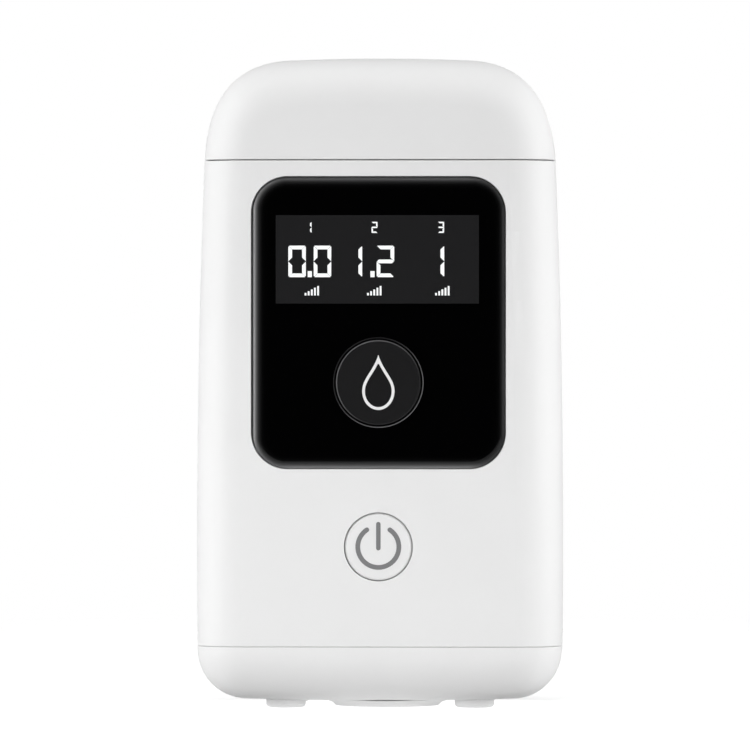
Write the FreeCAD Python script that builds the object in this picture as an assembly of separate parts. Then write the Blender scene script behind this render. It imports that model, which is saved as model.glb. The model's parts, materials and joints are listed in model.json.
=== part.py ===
import FreeCAD, Part
import os
from math import cos, pi, radians, sin, sqrt

# A water quality tester for poured samples. It stands on a bench: the origin is on the bench below
# the middle of the case, Z is up, the front looks along -Y and X runs to the user's right.
# Lengths are in millimetres.

V = FreeCAD.Vector
RIGHT, BACK, UP = V(1, 0, 0), V(0, 1, 0), V(0, 0, 1)

# Outer form of the case. The lower ends of the sides, the heels, are rounder than the other edges.
case_width = 72.3
case_depth = 52.0
case_height = 128.5
bench_gap = 1.45
bow_radius = 1900.0
bow_height = 33.0
crown_radius = 413.0
belly_radius = 786.0
shoulder_reach = 18.3
shoulder_up = 0.59
shoulder_across = 0.67
edge_round = 9.0
heel_extra = 0.7

# Seams and walls. A cutting tool runs past the face it cuts by the distance named past, and two
# places closer than the distance named close are taken as the same.
cap_height = 20.3
base_height = 10.95
cap_seam_gap = 0.2
cap_seam_round = 0.25
base_seam_gap = 0.05
base_seam_round = 0.22
wall = 2.6
fit_gap = 0.15
run_gap = 0.3
rib = 1.4
past = 1.0
close = 0.01

# Top deck and the cap's plug
deck_drop = 1.8
deck_thick = 2.2
ledge_high = 2.4
ledge_wide = 1.2
collar_rise = 4.0
collar_wall = 1.4
funnel_flare = 4.5
funnel_deep = 4.2
hub_margin = 0.4
hub_gap = 0.4
plug_overlap = 1.6
plug_flange = 2.5
plug_lip = 0.5
plug_side_gap = 0.42
plug_neck = 7.0
plug_neck_high = 3.5
boss_wall = 1.6
boss_gap = 0.4
web_drop = 6.0
deck_screw_side = 10.8
deck_screw_long = 15.6

# Sample cell, which hangs below the deck against a flat gasket
cell_gap = 0.4
cell_wall = 2.0
cell_deep = 28.6
cell_floor = 2.5
cell_bevel = 2.0
cell_flange_reach = 4.4
cell_flange_thick = 2.6
gasket_land = 0.6
gasket_wide = 2.6
gasket_thick = 0.8
cell_screw_edge = 1.8
cell_screw_bite = 2.3
cell_screw_count = 3

# Light path across the cell
port_below_flange = 12.2
port_radius = 8.6
beam_radius = 3.0
window_radius = 4.7
window_thick = 1.6
window_seal_thick = 1.0
spigot_long = 1.6
holder_thick = 2.0
lamp_radius = 2.7
lamp_long = 2.4
lamp_round = 0.8
optic_board_wide = 12.0
optic_board_high = 17.0
optic_board_thick = 1.2
optic_side_gap = 3.6
optic_screw_reach = 6.6
optic_screw_long = 7.2

# Probes in the floor of the cell
pin_radius = 1.0
pin_round = 0.6
pin_spread = 8.0
pin_rise = 6.5
pin_tail = 1.4
probe_radius = 1.5
probe_round = 1.3
probe_gap = 0.6
probe_rise = 5.5
probe_seal_edge = 1.8
probe_seal_thick = 1.4
sensor_board_edge = 2.0
sensor_board_thick = 1.6
sensor_screw_edge = 4.0
sensor_boss_radius = 1.9
sensor_screw_skin = 1.2

# Front lens and display
lens_side = 11.15
lens_high = 57.5
lens_corner = 7.1
lens_drop = 3.2
lens_inset = 0.1
lens_thick = 1.5
lens_roll = 1.4
lens_gap = 0.12
tape_thick = 0.15
tape_margin = 0.8
tape_window_gap = 0.6
tape_hole_gap = 1.0
glass_side = 4.2
glass_high = 19.6
glass_drop = 6.5
glass_thick = 2.0
glass_gap = 0.1
glass_corner = 0.4
backlight_thick = 3.0
display_rim = 1.6
display_corner = 1.5
pocket_gap = 0.1
light_way_rim = 3.0
display_back_gap = 2.3
ribbon_wide = 16.0
ribbon_thick = 0.3
ribbon_gap = 0.4

# Buttons and their switches. The heights are shares of the free stretch of the front.
test_share = 0.54
test_face = 8.35
test_ring = 0.35
hole_edge = 0.2
test_skirt_step = 0.15
power_share = 0.562
power_face = 6.6
power_ring = 0.18
button_inset = 0.1
button_edge = 0.35
button_flange = 1.3
button_flange_thick = 1.2
button_stop = 0.15
stem_radius = 2.2
plunger_radius = 1.7
plunger_gap = 0.12
plunger_rise = 0.8
plunger_deep = 1.8
press_travel = 0.5
switch_side = 6.0
switch_high = 3.4
switch_leg = 0.8

# Main board
board_side_gap = 1.0
board_foot_gap = 0.5
board_top_gap = 5.4
board_thick = 1.6
board_corner = 2.0
board_screw_side = 2.2
board_screw_inset = 5.0
standoff = 2.0
chip_side = 9.0
memory_side = 6.4
driver_side = 5.4
chip_x = 15.0
chip_drop = 15.0
chip_thick = 1.4
buzzer_edge = 10.0
buzzer_hole = 0.7
buzzer_radius = 4.5
buzzer_high = 1.9

# Inner frame
frame_side_gap = 4.4
frame_back_gap = 4.4
frame_foot_rise = 2.5
frame_top_gap = 2.0
frame_thick = 2.0
cheek_thick = 1.6
floor_front_gap = 2.0
column_radius = 3.0
board_column = 2.7
column_long = 19.4
column_front_gap = 2.4
column_back_gap = 7.9
foot_column_high = 4.0
window_corner = 3.0
cheek_rib_rise = 8.0
cheek_rib_drop = 12.5
cheek_window_margin = 6.0
cheek_window_side = 3.0
plate_view_wide = 24.0
plate_view_high = 12.0
plate_view_drop = 14.0

# Battery
battery_wide = 34.0
battery_thick = 9.0
battery_top_gap = 4.6
battery_round = 3.0
foam_thick = 0.8
foam_margin = 2.0
strap_thick = 1.4
strap_high = 10.0
strap_lift = 2.0
strap_ear = 5.0
strap_gap = 0.3

# Charging port in the back wall
charge_board_wide = 22.0
charge_board_long = 16.0
charge_board_back_gap = 0.4
charge_board_thick = 1.6
charge_post_high = 4.9
charge_screw_x = 8.0
charge_screw_inset = 4.0
port_wide = 9.0
port_high = 3.2
port_corner = 1.5
port_long = 7.3
port_set_back = 0.6
port_gap = 0.3
port_shell = 0.35
port_floor = 1.2
tongue_side = 1.2
tongue_thick = 0.7
tongue_set_back = 0.8

# Wires and flat ribbons between the boards, and the slots they pass through in the frame plate
wire_radius = 0.6
wire_bend = 2.4
wire_pitch = 1.8
wire_rise = 1.0
battery_wire_x = -10.0
charge_wire_gap = 1.3
charge_wire_front = 4.0
strip_thick = 0.3
strip_gap = 0.4
strip_foot = 3.0
probe_strip_near = 4.0
probe_strip_far = 10.0
probe_strip_grip = 7.0
optic_strip_lift = 0.5
optic_strip_high = 2.7
optic_strip_grip = 3.0

# Screws
screw_radius = 1.2
screw_head = 2.2
screw_head_high = 1.4
small_screw = 0.9
small_head = 1.7
small_head_high = 1.2
head_bevel = 0.35
screw_gap = 0.1
screw_end_gap = 1.0
hex_reach = 0.55
drive_deep = 0.7

# Base, feet and the low round cover
lip_rise = 2.4
lip_wall = 1.4
lip_root = 3.0
seal_in = 1.2
seal_deep = 1.0
foot_x = 18.7
foot_y = 13.0
foot_radius = 3.95
foot_gap = 0.15
foot_round = 0.8
foot_recess_top = 3.2
post_radius = 5.0
screw_seat = 6.0
cover_shift = 1.2
cover_forward = 6.0
cover_bottom_radius = 10.9
cover_top_radius = 12.9
cover_spigot = 9.6
cover_lift = 0.15
cover_recess_top = 3.0
cover_round = 0.6
spigot_rim = 2.0
spigot_skin = 1.4

# Places worked out from the sizes above: heights of the case, the deck and the base
cap_seam = case_height - cap_height
base_seam = bench_gap + base_height
base_rim = base_seam - base_seam_gap
front = -case_depth / 2
back = case_depth / 2
wall_back = front + wall
back_inside = back - wall
wall_middle = wall / 2
deck_top = cap_seam - deck_drop
deck_low = deck_top - deck_thick
collar_top = cap_seam + collar_rise
funnel_low = deck_top - funnel_deep

# Depths of the layers behind the lens
lens_front = front + lens_inset
lens_back = lens_front + lens_thick
lens_bed = lens_back + tape_thick
glass_front = lens_back + glass_gap
glass_back = glass_front + glass_thick
backlight_back = glass_back + backlight_thick
button_flange_front = wall_back + button_stop
button_flange_back = button_flange_front + button_flange_thick
plunger_front = button_flange_back + plunger_rise
board_front = max(backlight_back + display_back_gap, plunger_front + plunger_rise + switch_high)
board_back = board_front + board_thick
plate_front = board_back + standoff
plate_back = plate_front + frame_thick
battery_front = plate_back + foam_thick
battery_back = battery_front + battery_thick

# Lens, display and buttons on the front
lens_wide = case_width - 2 * lens_side
lens_top = cap_seam - lens_drop
lens_low = lens_top - lens_high
lens_middle = (lens_top + lens_low) / 2
glass_wide = lens_wide - 2 * glass_side
glass_low = lens_top - glass_drop - glass_high
glass_middle = glass_low + glass_high / 2
test_height = lens_low + test_share * (glass_low - lens_low)
test_hole = test_face + test_ring
test_skirt = test_face + test_skirt_step
power_height = base_seam + power_share * (lens_low - base_seam)
power_hole = power_face + power_ring

# The cell fills the depth between the frame plate and the ledge at the back
cell_room = back_inside - ledge_wide - hub_gap - hub_margin - plate_back - cell_gap
cell_outside = (cell_room - cell_flange_reach) / 2
cell_bore = cell_outside - cell_wall
cell_flange = cell_outside + cell_flange_reach
cell_back = plate_back + cell_gap + cell_outside
cell_top = funnel_low - gasket_thick
cell_flange_low = cell_top - cell_flange_thick
cell_inner_floor = cell_top - cell_deep
cell_outer_floor = cell_inner_floor - cell_floor
cell_screw_circle = cell_flange - cell_screw_edge
funnel_mouth = cell_bore + funnel_flare
hub_radius = cell_flange + hub_margin
probe_board_top = cell_outer_floor - probe_seal_thick
probe_board_low = probe_board_top - sensor_board_thick
sensor_screw_reach = cell_outside - sensor_screw_edge

# Inner frame, boards and battery
frame_half = case_width / 2 - wall - frame_side_gap
cheek_inside = frame_half - cheek_thick
frame_back = back_inside - frame_back_gap
frame_foot_low = base_seam + frame_foot_rise
floor_top = frame_foot_low + frame_thick
frame_wall_top = cell_flange_low - frame_top_gap
column_x = case_width / 2 - deck_screw_side
column_front = plate_back + column_front_gap
column_back = back_inside - column_back_gap
column_low = deck_low - column_long
foot_column_top = floor_top + foot_column_high
board_wide = 2 * (cheek_inside - board_side_gap)
board_low = foot_column_top + board_foot_gap
board_high = deck_low - board_top_gap
board_screw_x = board_wide / 2 - board_screw_side
battery_top = probe_board_low - pin_tail - battery_top_gap
strap_middle = (floor_top + battery_top) / 2 + strap_lift
strap_screw_x = battery_wide / 2 + strap_gap + strap_thick + strap_ear / 2
charge_board_back = back_inside - charge_board_back_gap
charge_board_front = charge_board_back - charge_board_long
charge_board_low = floor_top + charge_post_high
charge_board_top = charge_board_low + charge_board_thick
charge_screw_front = charge_board_front + charge_screw_inset

# Distances along the light path, from the axis of the cell
port_level = cell_flange_low - port_below_flange
port_end = cheek_inside - optic_side_gap - small_head_high - optic_board_thick - holder_thick
seal_seat = port_end - spigot_long - window_thick - window_seal_thick
seal_far = seal_seat + window_seal_thick
window_far = seal_far + window_thick
holder_far = port_end + holder_thick
optic_board_far = holder_far + optic_board_thick


# Building blocks

def block(low, high):
    """A box between two opposite corners."""
    size = high - low
    return Part.makeBox(size.x, size.y, size.z, low)


def rod(radius, start, end):
    """A round bar from one point to another."""
    run = end - start
    return Part.makeCylinder(radius, run.Length, start, run)


def at(place, height):
    return V(place.x, place.y, height)


def upright(radius, place, low, high):
    """An upright round bar, or the cutter for a hole, at a place and between two heights."""
    return rod(radius, at(place, low), at(place, high))


def level(radius, place, near, far):
    """A round bar, or the cutter for a hole, that runs from front to back between two depths."""
    return rod(radius, V(place.x, near, place.z), V(place.x, far, place.z))


def turned(centre, axis, outline):
    """A solid turned about an axis; the outline is a list of (radius, distance along the axis)."""
    across = RIGHT if abs(axis.x) < 0.5 else UP
    points = [centre + across * radius + axis * along for radius, along in outline]
    face = Part.Face(Part.makePolygon(points + points[:1]))
    return face.revolve(centre, axis, 360)


def washer(outer, inner, start, end):
    """A flat ring between two points on its axis."""
    run = end - start
    return rod(outer, start, end).cut(rod(inner, start - run, end + run))


def edges_along(body, axis):
    """The straight edges of a body that run along an axis."""
    found = []
    for edge in body.Edges:
        run = edge.lastVertex().Point - edge.firstVertex().Point
        if abs(edge.Length - abs(run.dot(axis))) < close:
            found.append(edge)
    return found


def plate(wide, high, corner, near, far, middle):
    """An upright plate with rounded corners, between two depths, centred on a height."""
    body = block(V(-wide / 2, near, middle - high / 2), V(wide / 2, far, middle + high / 2))
    if corner > 0:
        body = body.makeFillet(corner, edges_along(body, BACK))
    return body


def joined(shapes):
    """One solid from touching or overlapping shapes."""
    return shapes[0].fuse(shapes[1:]).removeSplitter()


def both_sides(shape):
    """The shape and its mirror image across the middle of the case."""
    return [shape, shape.mirror(V(0, 0, 0), RIGHT)]


def save(name, shapes):
    """Write a piece, or a group of separate pieces, to its own file."""
    solids = [solid for shape in shapes for solid in shape.Solids]
    whole = solids[0] if len(solids) == 1 else Part.makeCompound(solids)
    whole.exportStep("parts/" + name + ".step")


def screw(radius, head, head_high, head_seat, tip):
    """A screw with a bevelled round head and a six-sided socket, from under its head to its tip."""
    out = (head_seat - tip).normalize()
    top = head_seat + out * head_high
    cap = rod(head, head_seat, top)
    rims = [edge for edge in cap.Edges if (edge.CenterOfMass - top).Length < close]
    cap = cap.makeChamfer(head_bevel, rims)
    across = RIGHT if abs(out.x) < 0.5 else UP
    side = out.cross(across)
    reach = head * hex_reach
    corners = [top + (across * cos(radians(60 * turn)) + side * sin(radians(60 * turn))) * reach
               for turn in range(7)]
    socket = Part.Face(Part.makePolygon(corners)).extrude(-out * drive_deep)
    return joined([rod(radius, tip, head_seat), cap]).cut(socket)


def big_screw(head_seat, tip):
    return screw(screw_radius, screw_head, screw_head_high, head_seat, tip)


def small_screw_piece(head_seat, tip):
    return screw(small_screw, small_head, small_head_high, head_seat, tip)


def wire_run(points):
    """A round wire along straight runs at right angles, with an arc at each turn."""
    pieces = []
    start = points[0]
    for corner, after in zip(points[1:], points[2:]):
        into = (corner - start).normalize()
        out = (after - corner).normalize()
        near = corner - into * wire_bend
        disc = Part.Face(Part.Wire(Part.makeCircle(wire_radius, near, into)))
        pieces.append(rod(wire_radius, start, near))
        pieces.append(disc.revolve(near + out * wire_bend, into.cross(out), 90))
        start = corner + out * wire_bend
    pieces.append(rod(wire_radius, start, points[-1]))
    return joined(pieces)


# The rounded form of the whole case, and thinner forms inside it

def side_x(height, inset):
    """Half the width at a height: the sides bow out gently."""
    bow = sqrt(bow_radius ** 2 - (height - bow_height) ** 2)
    return case_width / 2 - inset - bow_radius + bow


def crown_z(x, inset):
    return case_height - inset - crown_radius + sqrt(crown_radius ** 2 - x * x)


def belly_z(x, inset):
    return bench_gap + inset + belly_radius - sqrt(belly_radius ** 2 - x * x)


def case_outline(inset):
    """The closed front outline: bowed sides, drawn-in shoulders, a crown and a nearly flat belly."""
    heel = V(side_x(base_seam, inset), 0, 0)
    heel.z = belly_z(heel.x, inset)
    heel.x = side_x(heel.z, inset)
    hip_height = (heel.z + cap_seam) / 2
    hip = V(side_x(hip_height, inset), 0, hip_height)
    seam = V(side_x(cap_seam, inset), 0, cap_seam)
    seam_lean = (cap_seam - bow_height) / sqrt(bow_radius ** 2 - (cap_seam - bow_height) ** 2)
    rise = V(-seam_lean, 0, 1).normalize()
    top = V(case_width / 2 - shoulder_reach, 0, 0)
    top.z = crown_z(top.x, inset)
    run = V(1, 0, -top.x / sqrt(crown_radius ** 2 - top.x ** 2)).normalize()
    shoulder = Part.BezierCurve()
    shoulder.setPoles([seam, seam + rise * (shoulder_up * (top.z - seam.z)),
                       top + run * (shoulder_across * (seam.x - top.x)), top])
    half = [Part.Arc(heel, hip, seam).toShape(), shoulder.toShape()]
    far_half = [edge.mirror(V(0, 0, 0), RIGHT) for edge in half]
    crown = Part.Arc(top, V(0, 0, crown_z(0, inset)), V(-top.x, 0, top.z)).toShape()
    belly = Part.Arc(V(-heel.x, 0, heel.z), V(0, 0, belly_z(0, inset)), heel).toShape()
    return Part.Wire(Part.sortEdges(half + [crown] + far_half + [belly])[0])


def case_form(inset):
    """The whole case, drawn in by a distance on every side."""
    depth = case_depth / 2 - inset
    face = Part.Face(case_outline(inset))
    face.translate(BACK * -depth)
    body = face.extrude(BACK * 2 * depth)
    heels = [edge for edge in edges_along(body, BACK) if edge.CenterOfMass.z < base_seam]
    body = body.makeFillet(edge_round + heel_extra - inset, heels)
    rims = [edge for edge in body.Edges if abs(abs(edge.CenterOfMass.y) - depth) < close]
    return body.makeFillet(edge_round - inset, rims).Solids[0]


def slice_of(form, low, high):
    """The part of a form between two heights."""
    reach = case_width + case_depth
    return form.common(block(V(-reach, -reach, low), V(reach, reach, high)))


def rim_band(outer, inner, low, high):
    """A band that follows the case wall, between two insets and two heights."""
    return slice_of(case_form(outer), low, high).cut(case_form(inner))


def soften(body, height, radius):
    """Round the outer edge that a piece has at a seam."""
    inner = case_form(wall_middle)
    outside = []
    for edge in body.Edges:
        level_there = abs(edge.BoundBox.ZMin - height) < close and abs(edge.BoundBox.ZMax - height) < close
        middle = edge.valueAt((edge.FirstParameter + edge.LastParameter) / 2)
        if level_there and not inner.isInside(middle, close, True):
            outside.append(edge)
    return body.makeFillet(radius, outside)


# Places of screws, feet and probes

def corner_places():
    return [V(x, y, 0) for x in (-foot_x, foot_x) for y in (-foot_y, foot_y)]


def deck_screw_places():
    return [V(x, y, 0) for x in (-column_x, column_x) for y in (column_front, column_back)]


def board_screw_places():
    heights = (board_low + board_screw_inset, board_high - board_screw_inset)
    return [V(x, 0, z) for x in (-board_screw_x, board_screw_x) for z in heights]


def strap_screw_places():
    return [V(x, 0, strap_middle) for x in (-strap_screw_x, strap_screw_x)]


def charge_screw_places():
    return [V(x, charge_screw_front, 0) for x in (-charge_screw_x, charge_screw_x)]


def around(count, radius):
    """Places spread evenly round the axis of the sample cell, the first one at the back."""
    turns = [pi / 2 + 2 * pi * step / count for step in range(count)]
    return [V(radius * cos(turn), cell_back + radius * sin(turn), 0) for turn in turns]


def cell_screw_places():
    return around(cell_screw_count, cell_screw_circle)


def sensor_screw_places():
    return around(2, sensor_screw_reach)


def pin_places():
    return [V(x, cell_back, 0) for x in (-pin_spread / 2, pin_spread / 2)]


def probe_place():
    reach = sensor_screw_reach - sensor_boss_radius - probe_gap - probe_radius
    return V(0, cell_back + reach, 0)


def beam_point(side, distance, rise=0.0):
    """A point on the light path, on one side of the cell."""
    return V(side * distance, cell_back, port_level + rise)


cell_axis = V(0, cell_back, 0)
cover_axis = V(cover_shift, -cover_forward, 0)


# Cap

def top_cap():
    """The cap: a domed shell with a boss for its plug and two crossed ribs inside."""
    low = cap_seam + cap_seam_gap
    shell = slice_of(case_form(0), low, case_height + past).cut(case_form(wall))
    shell = soften(shell, low, cap_seam_round)
    boss_low = deck_top + plug_flange + 2 * run_gap
    bore = upright(plug_neck + fit_gap, cell_axis, boss_low - past, case_height)
    boss = upright(plug_neck + boss_gap + boss_wall, cell_axis, boss_low, case_height)
    rib_low = crown_z(0, wall) - web_drop
    ribs = [block(V(-case_width / 2, cell_back - rib / 2, rib_low),
                  V(case_width / 2, cell_back + rib / 2, case_height)),
            block(V(-rib / 2, front, rib_low), V(rib / 2, back, case_height))]
    room = slice_of(case_form(wall_middle), low, case_height)
    inner = [piece.cut(bore).common(room) for piece in [boss] + ribs]
    return joined([shell] + inner)


def cap_plug():
    """The soft stopper: a cone that seats in the funnel, a flange and a neck held in the boss."""
    slope = funnel_flare / funnel_deep
    cone_low = funnel_low + 2 * run_gap
    cone_top = deck_top + run_gap
    low_radius = cell_bore + slope * (cone_low - funnel_low) - plug_side_gap
    top_radius = funnel_mouth - plug_side_gap
    flange_radius = funnel_mouth + plug_overlap
    flange_top = deck_top + plug_flange + 2 * run_gap
    neck_top = flange_top + plug_neck_high
    return turned(cell_axis, UP, [
        (0, cone_low), (low_radius, cone_low), (top_radius, deck_top), (top_radius, cone_top),
        (flange_radius, cone_top), (flange_radius, flange_top - plug_lip),
        (flange_radius - plug_lip, flange_top), (plug_neck, flange_top),
        (plug_neck, neck_top), (0, neck_top)])


# Deck and body shell

def top_deck():
    """The deck under the cap: a plate with a collar, and a hub with the funnel over the cell."""
    deck = slice_of(case_form(wall + fit_gap), deck_low, deck_top)
    collar = rim_band(wall + run_gap, wall + run_gap + collar_wall, deck_low, collar_top)
    hub = upright(hub_radius, cell_axis, funnel_low, deck_top)
    funnel = turned(cell_axis, UP, [(0, funnel_low), (cell_bore, funnel_low),
                                    (funnel_mouth, deck_top), (0, deck_top)])
    cuts = [funnel]
    for place in deck_screw_places():
        cuts.append(upright(screw_radius + screw_gap, place, deck_low - past, deck_top + past))
    for place in cell_screw_places():
        cuts.append(upright(small_screw + screw_gap / 2, place, funnel_low - past,
                            cell_top + cell_screw_bite + screw_gap))
    return joined([deck, collar, hub]).cut(cuts)


def deck_screws():
    return [big_screw(at(place, deck_top), at(place, deck_top - deck_screw_long))
            for place in deck_screw_places()]


def cheek_ribs():
    """Ribs inside the side walls that the inner frame slides between."""
    low = frame_foot_low + cheek_rib_rise
    high = frame_wall_top - cheek_rib_drop
    ribs = []
    for y in (column_front, (column_front + column_back) / 2, column_back):
        ribs += both_sides(block(V(frame_half + run_gap, y - rib / 2, low),
                                 V(case_width / 2, y + rib / 2, high)))
    room = case_form(wall_middle)
    return [piece.common(room) for piece in ribs]


def body_shell():
    """The case between the seams, with the lens recess, the button holes and the port opening."""
    shell = slice_of(case_form(0), base_seam, cap_seam)
    shell = shell.cut(case_form(wall))
    ledge = rim_band(wall_middle, wall + ledge_wide, deck_low - ledge_high, deck_low)
    shell = joined([shell, ledge] + cheek_ribs())
    shell = soften(soften(shell, base_seam, base_seam_round), cap_seam, cap_seam_round)
    recess = plate(lens_wide + 2 * lens_gap, lens_high + 2 * lens_gap, lens_corner + lens_gap,
                   front - past, lens_bed, lens_middle)
    window = plate(glass_wide + 2 * lens_gap, glass_high + 2 * lens_gap, glass_corner + lens_gap,
                   front, wall_back + past, glass_middle)
    test_way = level(test_skirt + run_gap, V(0, 0, test_height), front, wall_back + past)
    power_way = level(power_hole, V(0, 0, power_height), front - past, wall_back + past)
    charge_way = plate(port_wide + 2 * port_gap, port_high + 2 * port_gap, port_corner + port_gap,
                       back_inside - wall, back + past, charge_board_top + port_high / 2)
    return shell.cut([recess, window, test_way, power_way, charge_way])


# Front lens and display

def lens_panel():
    """The front lens, with a rolled front edge and a bevelled hole for the test button."""
    lens = plate(lens_wide, lens_high, lens_corner, lens_front, lens_back, lens_middle)
    rims = [edge for edge in lens.Edges if abs(edge.BoundBox.YMax - lens_front) < close]
    lens = lens.makeFillet(lens_roll, rims)
    lens = lens.cut(level(test_hole, V(0, 0, test_height), lens_front - past, lens_back + past))
    lips = [edge for edge in lens.Edges
            if abs(edge.BoundBox.YMax - lens_front) < close
            and abs(edge.BoundBox.XLength - 2 * test_hole) < close]
    return lens.makeChamfer(hole_edge, lips)


def lens_tape():
    """Double-sided tape: a frame round the lens, open at the display and at the button."""
    wide, high = lens_wide - 2 * tape_margin, lens_high - 2 * tape_margin
    sheet = plate(wide, high, lens_corner - tape_margin, lens_back, lens_bed, lens_middle)
    window = plate(glass_wide + 2 * tape_window_gap, glass_high + 2 * tape_window_gap, tape_window_gap,
                   lens_back - past, lens_bed + past, glass_middle)
    hole = level(test_hole + tape_hole_gap, V(0, 0, test_height), lens_back - past, lens_bed + past)
    return sheet.cut([window, hole])


def lcd_glass():
    return plate(glass_wide, glass_high, glass_corner, glass_front, glass_back, glass_middle)


def backlight():
    return plate(glass_wide, glass_high, glass_corner, glass_back, backlight_back, glass_middle)


def display_frame():
    """A moulded frame that holds the glass and backlight against the lens."""
    near = wall_back + fit_gap
    high = glass_high + 2 * display_rim
    body = plate(glass_wide + 2 * display_rim, high, display_corner, near, board_front, glass_middle)
    pocket = plate(glass_wide + 2 * pocket_gap, glass_high + 2 * pocket_gap, glass_corner + pocket_gap,
                   near - past, backlight_back, glass_middle)
    light_way = plate(glass_wide - 2 * light_way_rim, glass_high - 2 * light_way_rim, rib,
                      near, board_front + past, glass_middle)
    half_slot = ribbon_wide / 2 + ribbon_gap
    slot = block(V(-half_slot, glass_back - ribbon_gap, glass_middle - high),
                 V(half_slot, board_front + past, glass_low + ribbon_gap))
    return body.cut([pocket, light_way, slot])


def display_ribbon():
    """A flexible ribbon that leaves the foot of the glass and turns back to the board."""
    turn_radius = (board_front - glass_back) / 2
    start = V(-ribbon_wide / 2, (board_front + glass_back) / 2, glass_low - ribbon_thick)
    end = start + RIGHT * ribbon_wide
    loop = rod(turn_radius, start, end).cut(rod(turn_radius - ribbon_thick, start, end))
    below = block(V(-ribbon_wide, front, 0), V(ribbon_wide, back, start.z))
    return loop.common(below)


# Buttons and switches

def button(face_radius, skirt_radius, height, skirt_front):
    """A round push button: face, skirt, a flange behind the wall and a stem to its switch."""
    flange = skirt_radius + run_gap + button_flange
    face = front + button_inset
    return turned(V(0, 0, height), BACK, [
        (0, face), (face_radius - button_edge, face), (face_radius, face + button_edge),
        (face_radius, skirt_front), (skirt_radius, skirt_front), (skirt_radius, button_flange_front),
        (flange, button_flange_front), (flange, button_flange_back), (stem_radius, button_flange_back),
        (stem_radius, plunger_front), (0, plunger_front)])


def plunger(height):
    tip = plunger_front + plunger_rise + plunger_deep - press_travel - run_gap
    return level(plunger_radius, V(0, 0, height), plunger_front, tip)


def push_switch(height):
    """A square switch on the board with four legs and a bore for its plunger."""
    half = switch_side / 2
    leg = switch_leg
    near = board_front - switch_high
    case = block(V(-half, near, height - half), V(half, board_front, height + half))
    bore = level(plunger_radius + plunger_gap, V(0, 0, height), near - past, near + plunger_deep)
    legs = [block(V(x - leg / 2, board_front - leg / 2, z - leg / 2),
                  V(x + leg / 2, board_front, z + leg / 2))
            for x in (-half - leg / 2, half + leg / 2) for z in (height - 2 * leg, height + 2 * leg)]
    return joined([case] + legs).cut(bore)


# Main board

def main_board():
    middle = (board_low + board_high) / 2
    board = plate(board_wide, board_high - board_low, board_corner, board_front, board_back, middle)
    holes = [level(small_screw + screw_gap, place, board_front - past, board_back + past)
             for place in board_screw_places()]
    return board.cut(holes)


def board_screws():
    return [small_screw_piece(V(place.x, board_front, place.z), V(place.x, plate_back - screw_gap, place.z))
            for place in board_screw_places()]


def board_chips():
    low = test_height - chip_drop
    chips = ((-chip_x, low, chip_side), (chip_x, low, memory_side), (chip_x, power_height, driver_side))
    return [block(V(x - side / 2, board_front - chip_thick, z - side / 2),
                  V(x + side / 2, board_front, z + side / 2)) for x, z, side in chips]


def buzzer():
    place = V(buzzer_edge - board_wide / 2, 0, power_height)
    face = board_front - buzzer_high
    body = level(buzzer_radius, place, face, board_front)
    return body.cut(level(buzzer_hole, place, face - past, face + buzzer_hole))


# Inner frame

def frame_columns():
    """Columns for the deck, base, board and charging board screws, and webs to the cheeks."""
    columns = []
    for place in deck_screw_places():
        columns.append(upright(column_radius, place, column_low, deck_low))
        side = 1 if place.x > 0 else -1
        web = sorted([place.x, side * (frame_half - cheek_thick / 2)])
        columns.append(block(V(web[0], place.y - rib / 2, column_low - column_radius),
                             V(web[1], place.y + rib / 2, frame_wall_top)))
    for place in corner_places():
        columns.append(upright(column_radius, place, frame_foot_low, foot_column_top))
    for place in board_screw_places():
        columns.append(level(board_column, place, board_back, plate_front))
    for place in charge_screw_places():
        columns.append(upright(board_column, place, floor_top, charge_board_low))
    return columns


def frame_bores():
    """The screw holes of the inner frame."""
    thread = screw_radius + screw_gap / 2
    small_thread = small_screw + screw_gap / 2
    bores = []
    for place in deck_screw_places():
        bores.append(upright(thread, place, deck_top - deck_screw_long - screw_end_gap, deck_low + past))
    for place in corner_places():
        bores.append(upright(thread, place, frame_foot_low - past, foot_column_top - screw_end_gap / 2))
    for place in board_screw_places():
        bores.append(level(small_thread, place, board_back - past, plate_back + past))
    for place in charge_screw_places():
        bores.append(upright(small_thread, place, floor_top, charge_board_low + past))
    for place in strap_screw_places():
        bores.append(level(small_thread, place, plate_front - past, plate_back + past))
    return bores


def cheek_windows():
    """Openings through both cheeks that lighten the frame and let the light path boards in."""
    middle_bar = (floor_top + column_low) / 2
    windows = []
    for low, high in ((floor_top + cheek_window_margin, middle_bar - cheek_window_side),
                      (middle_bar + cheek_window_side, column_low - cheek_window_margin)):
        cut = block(V(-case_width, column_front + cheek_window_side, low),
                    V(case_width, column_back - cheek_window_side, high))
        windows.append(cut.makeFillet(window_corner, edges_along(cut, RIGHT)))
    return windows


def strip_slots():
    """Slots in the frame plate that the wires and ribbons pass through."""
    near, far = plate_front - past, plate_back + past
    wire_room = wire_radius + strip_gap
    slots = [block(V(battery_wire_x - wire_pitch - wire_room, near, battery_wire_top() - wire_room),
                   V(battery_wire_x + wire_room, far, battery_wire_top() + wire_room)),
             block(V(probe_strip_near - strip_gap, near, probe_board_low - strip_thick - strip_gap),
                   V(probe_strip_far + strip_gap, far, probe_board_low + strip_gap))]
    side = charge_wire_places()
    slots.append(block(V(side[0] - wire_room, near, charge_wire_height() - wire_room),
                       V(side[-1] + wire_room, far, charge_wire_height() + wire_room)))
    low = port_level - optic_board_high / 2 + optic_strip_lift
    slots += both_sides(block(V(optic_board_far - strip_gap, near, low - strip_gap),
                              V(optic_board_far + strip_thick + strip_gap, far,
                                low + optic_strip_high + strip_gap)))
    return slots


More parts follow.
